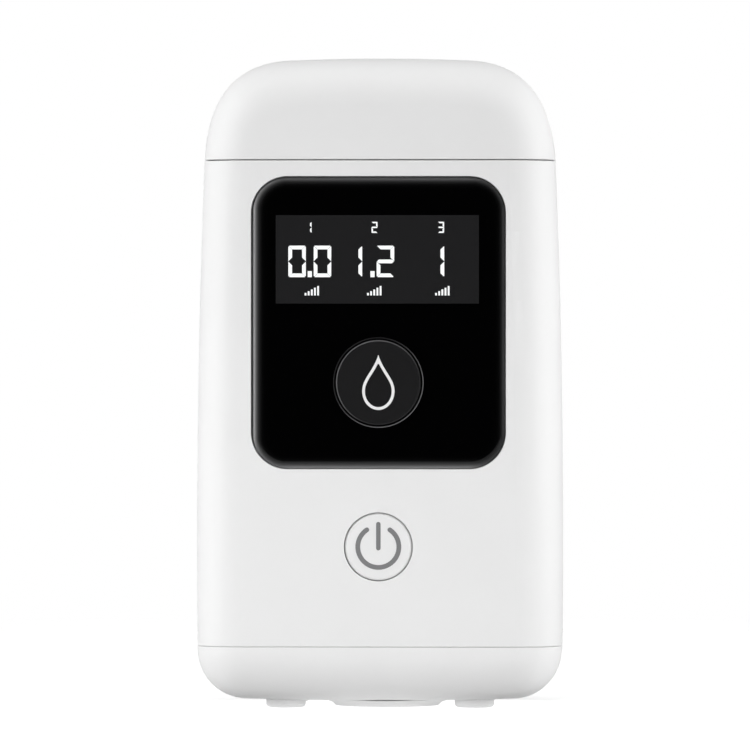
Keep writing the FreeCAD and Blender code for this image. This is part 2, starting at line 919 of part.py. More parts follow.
def inner_frame():
    """The moulded frame: a plate behind the board, two side cheeks, a floor and screw columns."""
    middle = (frame_foot_low + frame_wall_top) / 2
    wall_plate = plate(2 * frame_half, frame_wall_top - frame_foot_low, 0, plate_front, plate_back, middle)
    cheek = block(V(cheek_inside, plate_front, frame_foot_low), V(frame_half, frame_back, frame_wall_top))
    floor = block(V(-frame_half, wall_back + floor_front_gap, frame_foot_low),
                  V(frame_half, frame_back, floor_top))
    view = plate(plate_view_wide, plate_view_high, window_corner, plate_front - past, plate_back + past,
                 frame_wall_top - plate_view_drop)
    body = joined([wall_plate, floor] + both_sides(cheek) + frame_columns())
    return body.cut(cheek_windows() + frame_bores() + strip_slots() + [view])


# Battery

def battery_pack():
    body = block(V(-battery_wide / 2, battery_front, floor_top),
                 V(battery_wide / 2, battery_back, battery_top))
    return body.makeFillet(battery_round, edges_along(body, UP))


def battery_foam():
    return block(V(foam_margin - battery_wide / 2, plate_back, floor_top + foam_margin),
                 V(battery_wide / 2 - foam_margin, battery_front, battery_top - foam_margin))


def battery_strap():
    """A bridge over the battery with a screwed ear on each side."""
    low, high = strap_middle - strap_high / 2, strap_middle + strap_high / 2
    inside = battery_wide / 2 + strap_gap
    outside = inside + strap_thick
    bridge = block(V(-outside, battery_back, low), V(outside, battery_back + strap_thick, high))
    leg = block(V(inside, plate_back, low), V(outside, battery_back + strap_thick, high))
    ear = block(V(inside, plate_back, low), V(outside + strap_ear, plate_back + strap_thick, high))
    holes = [level(small_screw + screw_gap, place, plate_back - past, plate_back + strap_thick + past)
             for place in strap_screw_places()]
    return joined([bridge] + both_sides(leg) + both_sides(ear)).cut(holes)


def strap_screws():
    return [small_screw_piece(V(place.x, plate_back + strap_thick, strap_middle),
                              V(place.x, plate_front + screw_gap, strap_middle))
            for place in strap_screw_places()]


# Charging port

def charge_board():
    board = block(V(-charge_board_wide / 2, charge_board_front, charge_board_low),
                  V(charge_board_wide / 2, charge_board_back, charge_board_top))
    holes = [upright(small_screw + screw_gap, place, charge_board_low - past, charge_board_top + past)
             for place in charge_screw_places()]
    return board.cut(holes)


def charge_port():
    """A metal socket with rounded ends and a tongue inside."""
    middle = charge_board_top + port_high / 2
    end = back - port_set_back
    start = end - port_long
    body = plate(port_wide, port_high, port_corner, start, end, middle)
    hollow = plate(port_wide - 2 * port_shell, port_high - 2 * port_shell, port_corner - port_shell,
                   start + port_floor, end + past, middle)
    tongue = block(V(tongue_side - port_wide / 2, start + port_floor / 2, middle - tongue_thick / 2),
                   V(port_wide / 2 - tongue_side, end - tongue_set_back, middle + tongue_thick / 2))
    return joined([body.cut(hollow), tongue])


def charge_screws():
    return [small_screw_piece(at(place, charge_board_top), at(place, floor_top + screw_end_gap / 2))
            for place in charge_screw_places()]


# Sample cell with its light path and probes

def sample_cell():
    """The cup under the funnel, with a port on each side and two bosses below its floor."""
    cup = turned(cell_axis, UP, [
        (0, cell_outer_floor), (cell_outside, cell_outer_floor), (cell_outside, cell_flange_low),
        (cell_flange, cell_flange_low), (cell_flange, cell_top), (0, cell_top)])
    hollow = turned(cell_axis, UP, [
        (0, cell_inner_floor), (cell_bore - cell_bevel, cell_inner_floor),
        (cell_bore, cell_inner_floor + cell_bevel), (cell_bore, cell_top), (0, cell_top)])
    ports = both_sides(rod(port_radius, beam_point(1, 0), beam_point(1, port_end)))
    bosses = [upright(sensor_boss_radius, place, probe_board_top, cell_inner_floor)
              for place in sensor_screw_places()]
    cuts = [hollow]
    cuts += both_sides(rod(beam_radius, beam_point(1, 0), beam_point(1, port_end + past)))
    cuts += both_sides(rod(window_radius + screw_gap, beam_point(1, seal_seat),
                           beam_point(1, port_end + past)))
    screw_start = optic_board_far - optic_screw_long - screw_end_gap / 2
    for rise in (-optic_screw_reach, optic_screw_reach):
        cuts += both_sides(rod(small_screw + screw_gap / 2, beam_point(1, screw_start, rise),
                               beam_point(1, port_end + past, rise)))
    for place in cell_screw_places():
        cuts.append(upright(small_screw + screw_gap, place, cell_flange_low - past, cell_top + past))
    for place in sensor_screw_places():
        cuts.append(upright(small_screw + screw_gap / 2, place, probe_board_top - past,
                            cell_inner_floor - sensor_screw_skin + screw_gap))
    cuts += probe_ways(cell_outer_floor - past, cell_inner_floor + past)
    return joined([cup] + ports + bosses).cut(cuts)


def cell_seal():
    """The flat gasket between the cell and the deck."""
    inner = cell_bore + gasket_land
    return washer(inner + gasket_wide, inner, at(cell_axis, cell_top), at(cell_axis, funnel_low))


def cell_screws():
    return [small_screw_piece(at(place, cell_flange_low), at(place, cell_top + cell_screw_bite))
            for place in cell_screw_places()]


def probe_ways(low, high):
    """Holes for the two electrodes and the temperature probe."""
    ways = [upright(pin_radius + screw_gap / 2, place, low, high) for place in pin_places()]
    return ways + [upright(probe_radius + screw_gap / 2, probe_place(), low, high)]


def rounded_pin(radius, tip_round, place, low, high):
    """An upright pin with a rounded top."""
    pin = upright(radius, place, low, high)
    return pin.makeFillet(tip_round, [edge for edge in pin.Edges if edge.BoundBox.ZMin > high - close])


def electrodes():
    return [rounded_pin(pin_radius, pin_round, place, probe_board_low - pin_tail,
                        cell_inner_floor + pin_rise)
            for place in pin_places()]


def temperature_probe():
    return rounded_pin(probe_radius, probe_round, probe_place(), probe_board_low,
                       cell_inner_floor + probe_rise)


def probe_seal():
    pad = upright(sensor_screw_reach - probe_seal_edge, cell_axis, probe_board_top, cell_outer_floor)
    relief = [upright(sensor_boss_radius + fit_gap, place, probe_board_top - past, cell_outer_floor + past)
              for place in sensor_screw_places()]
    return pad.cut(probe_ways(probe_board_top - past, cell_outer_floor + past) + relief)


def sensor_board():
    board = upright(cell_outside - sensor_board_edge, cell_axis, probe_board_low, probe_board_top)
    holes = [upright(small_screw + screw_gap, place, probe_board_low - past, probe_board_top + past)
             for place in sensor_screw_places()]
    return board.cut(holes + probe_ways(probe_board_low - past, probe_board_top + past))


def sensor_screws():
    return [small_screw_piece(at(place, probe_board_low), at(place, cell_inner_floor - sensor_screw_skin))
            for place in sensor_screw_places()]


def beam_window(side):
    return rod(window_radius, beam_point(side, seal_far), beam_point(side, window_far))


def window_seal(side):
    return washer(window_radius, beam_radius, beam_point(side, seal_seat), beam_point(side, seal_far))


def optic_holder(side):
    """A round cap that presses the window home and carries the lamp or the light sensor."""
    spigot = rod(window_radius, beam_point(side, window_far), beam_point(side, holder_far))
    flange = rod(port_radius, beam_point(side, port_end), beam_point(side, holder_far))
    cuts = [rod(lamp_radius + screw_gap, beam_point(side, 0), beam_point(side, holder_far + past))]
    for rise in (-optic_screw_reach, optic_screw_reach):
        cuts.append(rod(small_screw + screw_gap, beam_point(side, 0, rise),
                        beam_point(side, holder_far + past, rise)))
    return joined([spigot, flange]).cut(cuts)


def optic_can(side):
    """The lamp or light sensor: a metal can with a rounded end, its base on the board."""
    tip = beam_point(side, holder_far - lamp_long)
    body = rod(lamp_radius, tip, beam_point(side, holder_far))
    rims = [edge for edge in body.Edges if (edge.CenterOfMass - tip).Length < close]
    return body.makeFillet(lamp_round, rims)


def optic_plate(side):
    near, far = sorted([side * holder_far, side * optic_board_far])
    board = block(V(near, cell_back - optic_board_wide / 2, port_level - optic_board_high / 2),
                  V(far, cell_back + optic_board_wide / 2, port_level + optic_board_high / 2))
    holes = [rod(small_screw + screw_gap, beam_point(side, 0, rise),
                 beam_point(side, optic_board_far + past, rise))
             for rise in (-optic_screw_reach, optic_screw_reach)]
    return board.cut(holes)


def optic_screws():
    return [small_screw_piece(beam_point(side, optic_board_far, rise),
                              beam_point(side, optic_board_far - optic_screw_long, rise))
            for side in (-1, 1) for rise in (-optic_screw_reach, optic_screw_reach)]


# Wires and ribbons

def battery_wire_top():
    return battery_top + wire_rise + wire_bend


def charge_wire_height():
    """Half way between the foot columns and the lower board columns."""
    return (foot_column_top + board_low + board_screw_inset - board_column) / 2


def charge_wire_places():
    """Where the two charging wires run forward, beside the battery."""
    near = battery_wide / 2 + charge_wire_gap + wire_radius
    return [near, near + wire_pitch]


def power_wires():
    """Two wires from the battery to the main board, and two from the charging board."""
    wires = []
    middle = (battery_front + battery_back) / 2
    for x in (battery_wire_x, battery_wire_x - wire_pitch):
        high = battery_wire_top()
        wires.append(wire_run([V(x, middle, battery_top), V(x, middle, high), V(x, board_back, high)]))
    high = charge_wire_height()
    for step, x in enumerate(charge_wire_places()):
        y = charge_board_front + charge_wire_front + step * wire_pitch
        start = V(charge_board_wide / 2, y, high)
        wires.append(wire_run([start, V(x, y, high), V(x, board_back, high)]))
    return wires


def probe_ribbon():
    """A flat ribbon from under the sensor board to the back of the main board."""
    high = probe_board_low
    low = high - strip_thick
    outline = [(cell_back - probe_strip_grip, high), (cell_back - probe_strip_grip, low),
               (board_back + strip_thick, low), (board_back + strip_thick, low - strip_foot),
               (board_back, low - strip_foot), (board_back, high)]
    points = [V(probe_strip_near, y, z) for y, z in outline]
    face = Part.Face(Part.makePolygon(points + points[:1]))
    return face.extrude(RIGHT * (probe_strip_far - probe_strip_near))


def optic_ribbon(side):
    """A flat ribbon from the outer face of a light path board to the back of the main board."""
    near = optic_board_far
    far = near + strip_thick
    start = cell_back - optic_board_wide / 2 + optic_strip_grip
    outline = [(near, start), (far, start), (far, board_back + strip_thick),
               (far + strip_foot, board_back + strip_thick), (far + strip_foot, board_back),
               (near, board_back)]
    low = port_level - optic_board_high / 2 + optic_strip_lift
    points = [V(side * x, y, low) for x, y in outline]
    return Part.Face(Part.makePolygon(points + points[:1])).extrude(UP * optic_strip_high)


# Base

def base_cover():
    """The base: a shell with a lip inside the case, a post over each foot and the cover's socket."""
    shell = slice_of(case_form(0), 0, base_rim).cut(case_form(wall))
    shell = soften(shell, base_rim, base_seam_round)
    lip_outer = wall + fit_gap
    root = rim_band(wall_middle, lip_outer + lip_wall, base_rim - lip_root, base_rim - seal_deep)
    lip = rim_band(lip_outer, lip_outer + lip_wall, base_rim - lip_root, base_seam + lip_rise)
    room = case_form(wall_middle)
    socket = upright(cover_spigot + spigot_rim, cover_axis, bench_gap, cover_recess_top + spigot_skin)
    posts = [upright(post_radius, place, bench_gap, frame_foot_low) for place in corner_places()]
    body = joined([shell, root, lip] + [piece.common(room) for piece in [socket] + posts])
    cuts = [rim_band(seal_in, lip_outer, base_rim - seal_deep, base_rim + past),
            upright(cover_spigot + fit_gap, cover_axis, 0, cover_recess_top)]
    for place in corner_places():
        cuts.append(upright(foot_radius + foot_gap, place, 0, foot_recess_top))
        cuts.append(upright(screw_head + screw_gap, place, 0, screw_seat))
        cuts.append(upright(screw_radius + screw_gap, place, 0, frame_foot_low + past))
    return body.cut(cuts)


def base_seal():
    """A band of silicone on a step inside the base's rim."""
    return rim_band(seal_in + fit_gap, wall, base_rim - seal_deep, base_seam)


def case_screws():
    return [big_screw(at(place, screw_seat), at(place, foot_column_top - screw_end_gap))
            for place in corner_places()]


def foot(place):
    pad = upright(foot_radius, place, 0, foot_recess_top)
    return pad.makeFillet(foot_round, [edge for edge in pad.Edges if edge.BoundBox.ZMax < close])


def service_cover():
    """The low round cover: a tapered disc with a spigot pressed into the base."""
    return turned(cover_axis, UP, [
        (0, cover_lift), (cover_bottom_radius - cover_round, cover_lift),
        (cover_bottom_radius, cover_lift + cover_round), (cover_top_radius, bench_gap),
        (cover_spigot, bench_gap), (cover_spigot, cover_recess_top), (0, cover_recess_top)])


os.makedirs("parts", exist_ok=True)

save("top_cap", [top_cap()])
save("cap_plug", [cap_plug()])
save("top_deck", [top_deck()])
save("deck_screws", deck_screws())
save("body_shell", [body_shell()])

save("lens_panel", [lens_panel()])
save("lens_tape", [lens_tape()])
save("lcd_glass", [lcd_glass()])
save("backlight", [backlight()])
save("display_frame", [display_frame()])
save("display_ribbon", [display_ribbon()])

save("test_button", [button(test_face, test_skirt, test_height, lens_back + fit_gap)])
save("power_button", [button(power_face, power_face, power_height, lens_back)])
for name, height in (("test", test_height), ("power", power_height)):
    save(name + "_plunger", [plunger(height)])
    save(name + "_switch", [push_switch(height)])

save("main_board", [main_board()])
save("board_screws", board_screws())
save("board_chips", board_chips())
save("buzzer", [buzzer()])
save("inner_frame", [inner_frame()])

save("battery_pack", [battery_pack()])
save("battery_foam", [battery_foam()])
save("battery_strap", [battery_strap()])
save("strap_screws", strap_screws())
save("charge_board", [charge_board()])
save("charge_port", [charge_port()])
save("charge_screws", charge_screws())
save("power_wires", power_wires())
save("probe_ribbon", [probe_ribbon()])

save("sample_cell", [sample_cell()])
save("cell_seal", [cell_seal()])
save("cell_screws", cell_screws())
for side, part, end in ((-1, "uv_lamp", "lamp"), (1, "light_sensor", "light_sensor")):
    save(end + "_window", [beam_window(side)])
    save(end + "_window_seal", [window_seal(side)])
    save(end + "_holder", [optic_holder(side)])
    save(part, [optic_can(side)])
    save(end + "_board", [optic_plate(side)])
    save(end + "_ribbon", [optic_ribbon(side)])
save("optic_screws", optic_screws())
save("electrodes", electrodes())
save("temperature_probe", [temperature_probe()])
save("probe_seal", [probe_seal()])
save("sensor_board", [sensor_board()])
save("sensor_screws", sensor_screws())

save("base_cover", [base_cover()])
save("base_seal", [base_seal()])
save("case_screws", case_screws())
for place in corner_places():
    depth_name = "front" if place.y < 0 else "back"
    side_name = "left" if place.x < 0 else "right"
    save("foot_" + depth_name + "_" + side_name, [foot(place)])
save("service_cover", [service_cover()])
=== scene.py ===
# %% [markdown]
# This lesson dresses a small water tester that stands on a bench: a rounded white case with a cap that
# lifts off, a black gloss panel with a lit display, and two round push buttons. Its solids come from
# the imported model, so the first step loads them and gives a way to read the box each one fills.

# %% Load the model
import json
import math

import bmesh
import bpy
from mathutils import Matrix, Vector


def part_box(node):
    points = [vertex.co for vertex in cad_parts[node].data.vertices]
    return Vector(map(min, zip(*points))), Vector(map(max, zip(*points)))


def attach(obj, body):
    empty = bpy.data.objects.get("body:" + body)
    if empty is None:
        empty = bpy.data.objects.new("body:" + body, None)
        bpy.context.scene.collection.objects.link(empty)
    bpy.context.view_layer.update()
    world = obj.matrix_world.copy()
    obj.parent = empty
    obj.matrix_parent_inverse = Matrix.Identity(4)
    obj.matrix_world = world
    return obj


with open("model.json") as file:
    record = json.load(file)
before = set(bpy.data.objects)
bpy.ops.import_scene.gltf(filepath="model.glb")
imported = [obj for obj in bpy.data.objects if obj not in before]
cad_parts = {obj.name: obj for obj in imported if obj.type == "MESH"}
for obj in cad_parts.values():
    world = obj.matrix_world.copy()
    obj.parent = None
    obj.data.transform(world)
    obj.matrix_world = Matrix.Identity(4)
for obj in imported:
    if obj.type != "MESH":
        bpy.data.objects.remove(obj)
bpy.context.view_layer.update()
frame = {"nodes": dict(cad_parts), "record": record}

MM = 0.001
nodes = frame["nodes"]

# %% [markdown]
# The photograph was taken with a long lens, nearly square on, with the camera a little to the right
# of the front and a little over half way up the case. A long lens keeps upright edges parallel. The
# camera stays level and the picture is shifted down a little, as a view camera does it, because a
# tilted camera would make the sides lean.

# %% Camera
PHOTO_SIDE = 750
MM_PER_PIXEL = 0.2
CAMERA_DISTANCE = 1.61
CAMERA_HEIGHT = 0.0748
CAMERA_TURN = math.radians(1.6)
PICTURE_MIDDLE_HEIGHT = 0.0658
PICTURE_MIDDLE_X = -0.0014
SENSOR = 36.0

picture_side = PHOTO_SIDE * MM_PER_PIXEL * MM


def add_camera():
    """A level camera with a long lens, turned a little to the right of the front."""
    data = bpy.data.cameras.new("camera")
    data.sensor_width = SENSOR
    data.lens = SENSOR * CAMERA_DISTANCE / picture_side
    data.shift_x = PICTURE_MIDDLE_X / picture_side
    data.shift_y = (PICTURE_MIDDLE_HEIGHT - CAMERA_HEIGHT) / picture_side
    data.clip_start = 0.05
    data.clip_end = 50.0
    camera = bpy.data.objects.new("camera", data)
    camera.location = (CAMERA_DISTANCE * math.sin(CAMERA_TURN),
                       -CAMERA_DISTANCE * math.cos(CAMERA_TURN), CAMERA_HEIGHT)
    camera.rotation_euler = (math.pi / 2, 0, CAMERA_TURN)
    bpy.context.scene.collection.objects.link(camera)
    bpy.context.scene.camera = camera
    return camera


camera = add_camera()
print("lens", round(camera.data.lens, 1), "mm, shift", round(camera.data.shift_y, 3))

# %% [markdown]
# The surround, the floor and every finish are built from shader nodes, which have to be added and
# linked one by one. A few short helpers do that and take either a number or the socket of another node
# for an input, so that a finish further down reads as sums and mixes and not as wiring.

# %% Node helpers
NOISE_LOW, NOISE_HIGH = 0.3, 0.7        # nearly all of a noise pattern lies between these


def new_material(name):
    """An empty node material with its shader and output."""
    material = bpy.data.materials.new(name)
    material.use_nodes = True
    tree = material.node_tree
    shader = tree.nodes["Principled BSDF"]
    return material, tree, shader


def add_node(tree, kind, **settings):
    node = tree.nodes.new(kind)
    for name, value in settings.items():
        setattr(node, name, value)
    return node


def math_node(tree, operation, first, second=None, clamp=False):
    """A Math node; each input is a number or a socket."""
    node = add_node(tree, "ShaderNodeMath", operation=operation, use_clamp=clamp)
    for socket, value in zip(node.inputs, (first, second)):
        if value is None:
            continue
        if isinstance(value, (int, float)):
            socket.default_value = value
        else:
            tree.links.new(value, socket)
    return node.outputs[0]


def vector_node(tree, operation, first, second):
    """A Vector Math node; each input is a vector or a socket, and both results are at hand."""
    node = add_node(tree, "ShaderNodeVectorMath", operation=operation)
    for socket, value in zip(node.inputs, (first, second)):
        if isinstance(value, bpy.types.NodeSocket):
            tree.links.new(value, socket)
        elif value is not None:
            socket.default_value = value
    return node


def mix_colour(tree, factor, first, second):
    """A colour between two; the factor and colours are values or sockets."""
    node = add_node(tree, "ShaderNodeMix", data_type="RGBA")
    for index, value in ((0, factor), (6, first), (7, second)):
        if isinstance(value, bpy.types.NodeSocket):
            tree.links.new(value, node.inputs[index])
        elif index == 0:
            node.inputs[0].default_value = value
        else:
            node.inputs[index].default_value = (*value, 1.0)
    return node.outputs[2]


def object_place(tree):
    return add_node(tree, "ShaderNodeTexCoord").outputs["Object"]


def remap(tree, value, low, high, from_low=NOISE_LOW, from_high=NOISE_HIGH, smooth=False):
    """A value carried over from one range to another, in a straight line or with soft ends."""
    node = add_node(tree, "ShaderNodeMapRange", interpolation_type="SMOOTHSTEP" if smooth else "LINEAR")
    tree.links.new(value, node.inputs["Value"])
    ranges = {"From Min": from_low, "From Max": from_high, "To Min": low, "To Max": high}
    for name, number in ranges.items():
        node.inputs[name].default_value = number
    return node.outputs[0]


print("node helpers ready")

# %% [markdown]
# The surround is a world shader. The camera sees it white, as in the photograph, and so do rays that
# pass through glass. The black panel mirrors nothing in the photograph, so the room in front of it was
# dark: glossy rays find the surround dark in front and brighter behind. All other rays get a soft fill
# that comes mostly from the front. The direction's Y tells front from behind: -1 is straight in front.

# %% Surround
FRONT_FILL = 0.26
BACK_FILL = 0.03
FILL_SPAN = (-0.3, 0.5)
GLOSS_BEHIND = 0.45
GLOSS_SPAN = (-0.95, 0.35)


def add_world():
    """White for the camera, a fill mostly from the front, and dark in front for gloss."""
    world = bpy.data.worlds.new("surround")
    bpy.context.scene.world = world
    world.use_nodes = True
    tree = world.node_tree
    background = tree.nodes["Background"]
    path = add_node(tree, "ShaderNodeLightPath")
    direction = add_node(tree, "ShaderNodeSeparateXYZ")
    tree.links.new(add_node(tree, "ShaderNodeTexCoord").outputs["Generated"], direction.inputs[0])
    behind = remap(tree, direction.outputs["Y"], 0.0, GLOSS_BEHIND, *GLOSS_SPAN, smooth=True)
    gloss = math_node(tree, "MULTIPLY", path.outputs["Is Glossy Ray"], behind)
    seen = math_node(tree, "MAXIMUM", path.outputs["Is Camera Ray"], path.outputs["Is Transmission Ray"])
    soft = math_node(tree, "SUBTRACT", 1.0, path.outputs["Is Glossy Ray"], clamp=True)
    fill = remap(tree, direction.outputs["Y"], FRONT_FILL, BACK_FILL, *FILL_SPAN, smooth=True)
    soft_fill = math_node(tree, "MULTIPLY", soft, fill)
    strength = math_node(tree, "MAXIMUM", math_node(tree, "MAXIMUM", seen, gloss), soft_fill)
    tree.links.new(strength, background.inputs["Strength"])
    background.inputs["Color"].default_value = (1, 1, 1, 1)
    return world


print("world", add_world().name)

# %% [markdown]
# The floor is one pale plane. In this light it would look grey against the white surround, so its
# shader adds a lift that only the camera sees: open floor turns white and the soft shadow of the case
# stays. Further out it fades into the surround, so that no horizon shows. A faint glow in a small patch
# under the case stands for the light that a white table throws back at the feet and the underside.

# %% Floor
FLOOR_SIDE = 2.0
FLOOR_COLOUR = (0.68, 0.68, 0.68)
FLOOR_ROUGHNESS = 0.9
FLOOR_LIFT = 0.55
FLOOR_FADE = (0.22, 0.5)
FLOOR_GLOW = 0.40
GLOW_STRETCH = (0.6, 1, 1)
GLOW_FADE = (0.019, 0.026)


def paint_floor():
    """The floor's material: pale, lifted for the camera, lit under the case, clear further out."""
    material, tree, shader = new_material("studio_floor")
    shader.inputs["Base Color"].default_value = (*FLOOR_COLOUR, 1)
    shader.inputs["Roughness"].default_value = FLOOR_ROUGHNESS
    shader.inputs["Specular IOR Level"].default_value = 0.0
    place = object_place(tree)
    away = vector_node(tree, "LENGTH", place, None).outputs["Value"]
    narrowed = vector_node(tree, "MULTIPLY", place, GLOW_STRETCH).outputs[0]
    under = vector_node(tree, "LENGTH", narrowed, None).outputs["Value"]
    path = add_node(tree, "ShaderNodeLightPath")
    glow = math_node(tree, "MULTIPLY", remap(tree, under, 1.0, 0.0, *GLOW_FADE, smooth=True), FLOOR_GLOW)
    lift = math_node(tree, "MULTIPLY", path.outputs["Is Camera Ray"], FLOOR_LIFT)
    shader.inputs["Emission Color"].default_value = (1, 1, 1, 1)
    tree.links.new(math_node(tree, "ADD", glow, lift), shader.inputs["Emission Strength"])
    clear = add_node(tree, "ShaderNodeBsdfTransparent")
    mix = add_node(tree, "ShaderNodeMixShader")
    tree.links.new(remap(tree, away, 1.0, 0.0, *FLOOR_FADE, smooth=True), mix.inputs[0])
    tree.links.new(clear.outputs[0], mix.inputs[1])
    tree.links.new(shader.outputs[0], mix.inputs[2])
    tree.links.new(mix.outputs[0], tree.nodes["Material Output"].inputs["Surface"])
    return material


def add_floor():
    half = FLOOR_SIDE / 2
    mesh = bpy.data.meshes.new("studio_floor")
    corners = [(-half, -half, 0), (half, -half, 0), (half, half, 0), (-half, half, 0)]
    mesh.from_pydata(corners, [], [(0, 1, 2, 3)])
    mesh.materials.append(paint_floor())
    floor = bpy.data.objects.new("studio_floor", mesh)
    bpy.context.scene.collection.objects.link(floor)
    return floor


floor = add_floor()
print("floor", [round(side, 2) for side in floor.dimensions], "m")

# %% [markdown]
# Two large soft boxes at the sides brighten the rounded upright edges, as the photograph shows. A
# softer one hangs above the cap, one stands behind for the back wall, and a narrow strip low in front
# makes the foot of the case a little lighter than its top. None of them is mirrored in the case,
# because no bright shapes show in the gloss.

# %% Lamps
CASE_MIDDLE = (0, 0, 0.065)
LOW_FRONT = (0, 0, 0.025)
LAMPS = {
    # place, aim, width and height in metres, power in watts
    "side_box_left": ((-0.50, -0.21, 0.22), CASE_MIDDLE, 0.4, 0.5, 2.45),
    "side_box_right": ((0.88, -0.27, 0.25), CASE_MIDDLE, 0.7, 0.8, 7.4),
    "back_box": ((0.12, 0.95, 0.16), CASE_MIDDLE, 0.6, 0.6, 3.6),
    "top_box": ((0, -0.10, 0.90), CASE_MIDDLE, 0.6, 0.6, 2.5),
    "low_front_box": ((0, -0.14, 0.025), LOW_FRONT, 0.36, 0.03, 0.036),
}


def add_soft_box(name, place, aim, wide, high, power):
    """A rectangular lamp that points at the case and isn't mirrored in it."""
    data = bpy.data.lights.new(name, "AREA")
    data.shape = "RECTANGLE"
    data.size = wide
    data.size_y = high
    data.energy = power
    lamp = bpy.data.objects.new(name, data)
    lamp.location = place
    lamp.rotation_euler = (Vector(aim) - Vector(place)).to_track_quat("-Z", "Y").to_euler()
    lamp.visible_glossy = False
    lamp.visible_camera = False
    bpy.context.scene.collection.objects.link(lamp)
    return lamp


for name, settings in LAMPS.items():
    add_soft_box(name, *settings)
bpy.context.scene.view_settings.view_transform = "Standard"

# %% [markdown]
# The case is moulded in white plastic with a fine satin grain. Real mouldings aren't perfectly even:
# the grain is a shallow bump about a third of a millimetre across, and the gloss wanders a little
# over a centimetre or two. Both read the object's own coordinates, so they stay put when the cap lifts.

# %% White moulded plastic
WHITE = (0.835, 0.835, 0.835)
GRAIN_SIZE = 0.35 * MM
GRAIN_DEPTH = 0.004 * MM
SHEEN_PATCH = 18 * MM
SHEEN_DARK = 0.985


def noise(tree, place, size, detail=2.0):
    """A noise pattern with features of about that size, in metres."""
    node = add_node(tree, "ShaderNodeTexNoise")
    node.inputs["Scale"].default_value = 1.0 / size
    node.inputs["Detail"].default_value = detail
    tree.links.new(place, node.inputs["Vector"])
    return node.outputs["Fac"]


def add_bump(tree, shader, height, depth):
    """Raise the surface by a height pattern that is depth metres from low to high."""
    bump = add_node(tree, "ShaderNodeBump")
    bump.inputs["Distance"].default_value = depth
    bump.inputs["Strength"].default_value = 1.0
    tree.links.new(height, bump.inputs["Height"])
    tree.links.new(bump.outputs[0], shader.inputs["Normal"])


def moulded_plastic(name, colour, roughness, grain=GRAIN_SIZE, depth=GRAIN_DEPTH, spread=0.05):
    """Moulded plastic: an even colour with a faint cloud, a wandering gloss and a fine grain."""
    material, tree, shader = new_material(name)
    place = object_place(tree)
    cloud = noise(tree, place, SHEEN_PATCH)
    darker = tuple(channel * SHEEN_DARK for channel in colour)
    tree.links.new(mix_colour(tree, remap(tree, cloud, 0, 1), darker, colour), shader.inputs["Base Color"])
    tree.links.new(remap(tree, cloud, roughness - spread, roughness + spread), shader.inputs["Roughness"])
    add_bump(tree, shader, noise(tree, place, grain), depth)
    return material


white_plastic = moulded_plastic("white_plastic", WHITE, 0.42)
print("material", white_plastic.name)

# %% [markdown]
# The front panel is one sheet of clear plastic, painted black from behind except over the display,
# which shows as a dark grey window. The window is drawn by its own coordinates, so its edge is crisp.
# The round test button is moulded in the same black but reads a little greyer in the photograph.

# %% Panel tones and places
PANEL_BLACK = (0.0006, 0.0006, 0.0007)
WINDOW_GREY = (0.0155, 0.0155, 0.0162)
BUTTON_GREY = (0.0138, 0.0138, 0.0143)
WINDOW_WIDE = 40.0 * MM
WINDOW_HIGH = 17.4 * MM
WINDOW_MIDDLE_X = -0.2 * MM
panel_low, panel_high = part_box("lens_panel")
glass_low, glass_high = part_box("lcd_glass")
test_low, test_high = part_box("test_button")
power_low, power_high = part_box("power_button")
test_middle = Vector((0, 0, (test_low.z + test_high.z) / 2))
display_middle = Vector((WINDOW_MIDDLE_X, 0, (glass_low.z + glass_high.z) / 2))
print("display window", round(WINDOW_WIDE / MM, 1), "by", round(WINDOW_HIGH / MM, 1), "mm")

# %% [markdown]
# The clear edge of the sheet gathers light, and so do the lip of the button hole and the rounded edge
# of the button: each shows as a bright line a few tenths of a millimetre wide. Lamps that draw such
# lines would also put their own shapes on the gloss, so the lines are painted highlights in the colour,
# brighter on the side the light comes from. They are worked out from how far a place is from the rim,
# and to which side of the middle it lies.

# %% Painted rim highlights
# The colour of the painted highlight on the rim of the sheet.
RIM_HIGHLIGHT = (0.74, 0.74, 0.75)
RIM_DEEP = 0.30 * MM
RIM_INSET = 0.25 * MM
RIM_SHIFT = (0.15 * MM, -0.25 * MM)
RIM_CORNER = 6.5 * MM
RIM_TOWARD = (-1.0, 0.0, -1.0)
RIM_SHARES = (0.16, 0.92)
RIM_OUTSIDE = 0.15
# The colour of the painted highlights on the rings round the test button.
RING_HIGHLIGHT = (0.30, 0.30, 0.31)
RING_SPAN = (-0.7, 0.9)
# Each ring is a painted highlight, bright on the side given by toward and dim on the other.
BUTTON_RING = {"band": (8.13 * MM, 8.35 * MM), "dim": 0.06, "bright": 0.50, "toward": (-0.7, 0, 0.7)}
HOLE_RING = {"band": (8.7 * MM, 8.9 * MM), "dim": 0.06, "bright": 0.40, "toward": (0.7, 0, -0.7)}


def inside_band(tree, value, middle, half):
    """1 where a coordinate is within half of the middle, 0 elsewhere."""
    offset = math_node(tree, "ABSOLUTE", math_node(tree, "SUBTRACT", value, middle))
    return math_node(tree, "LESS_THAN", offset, half)


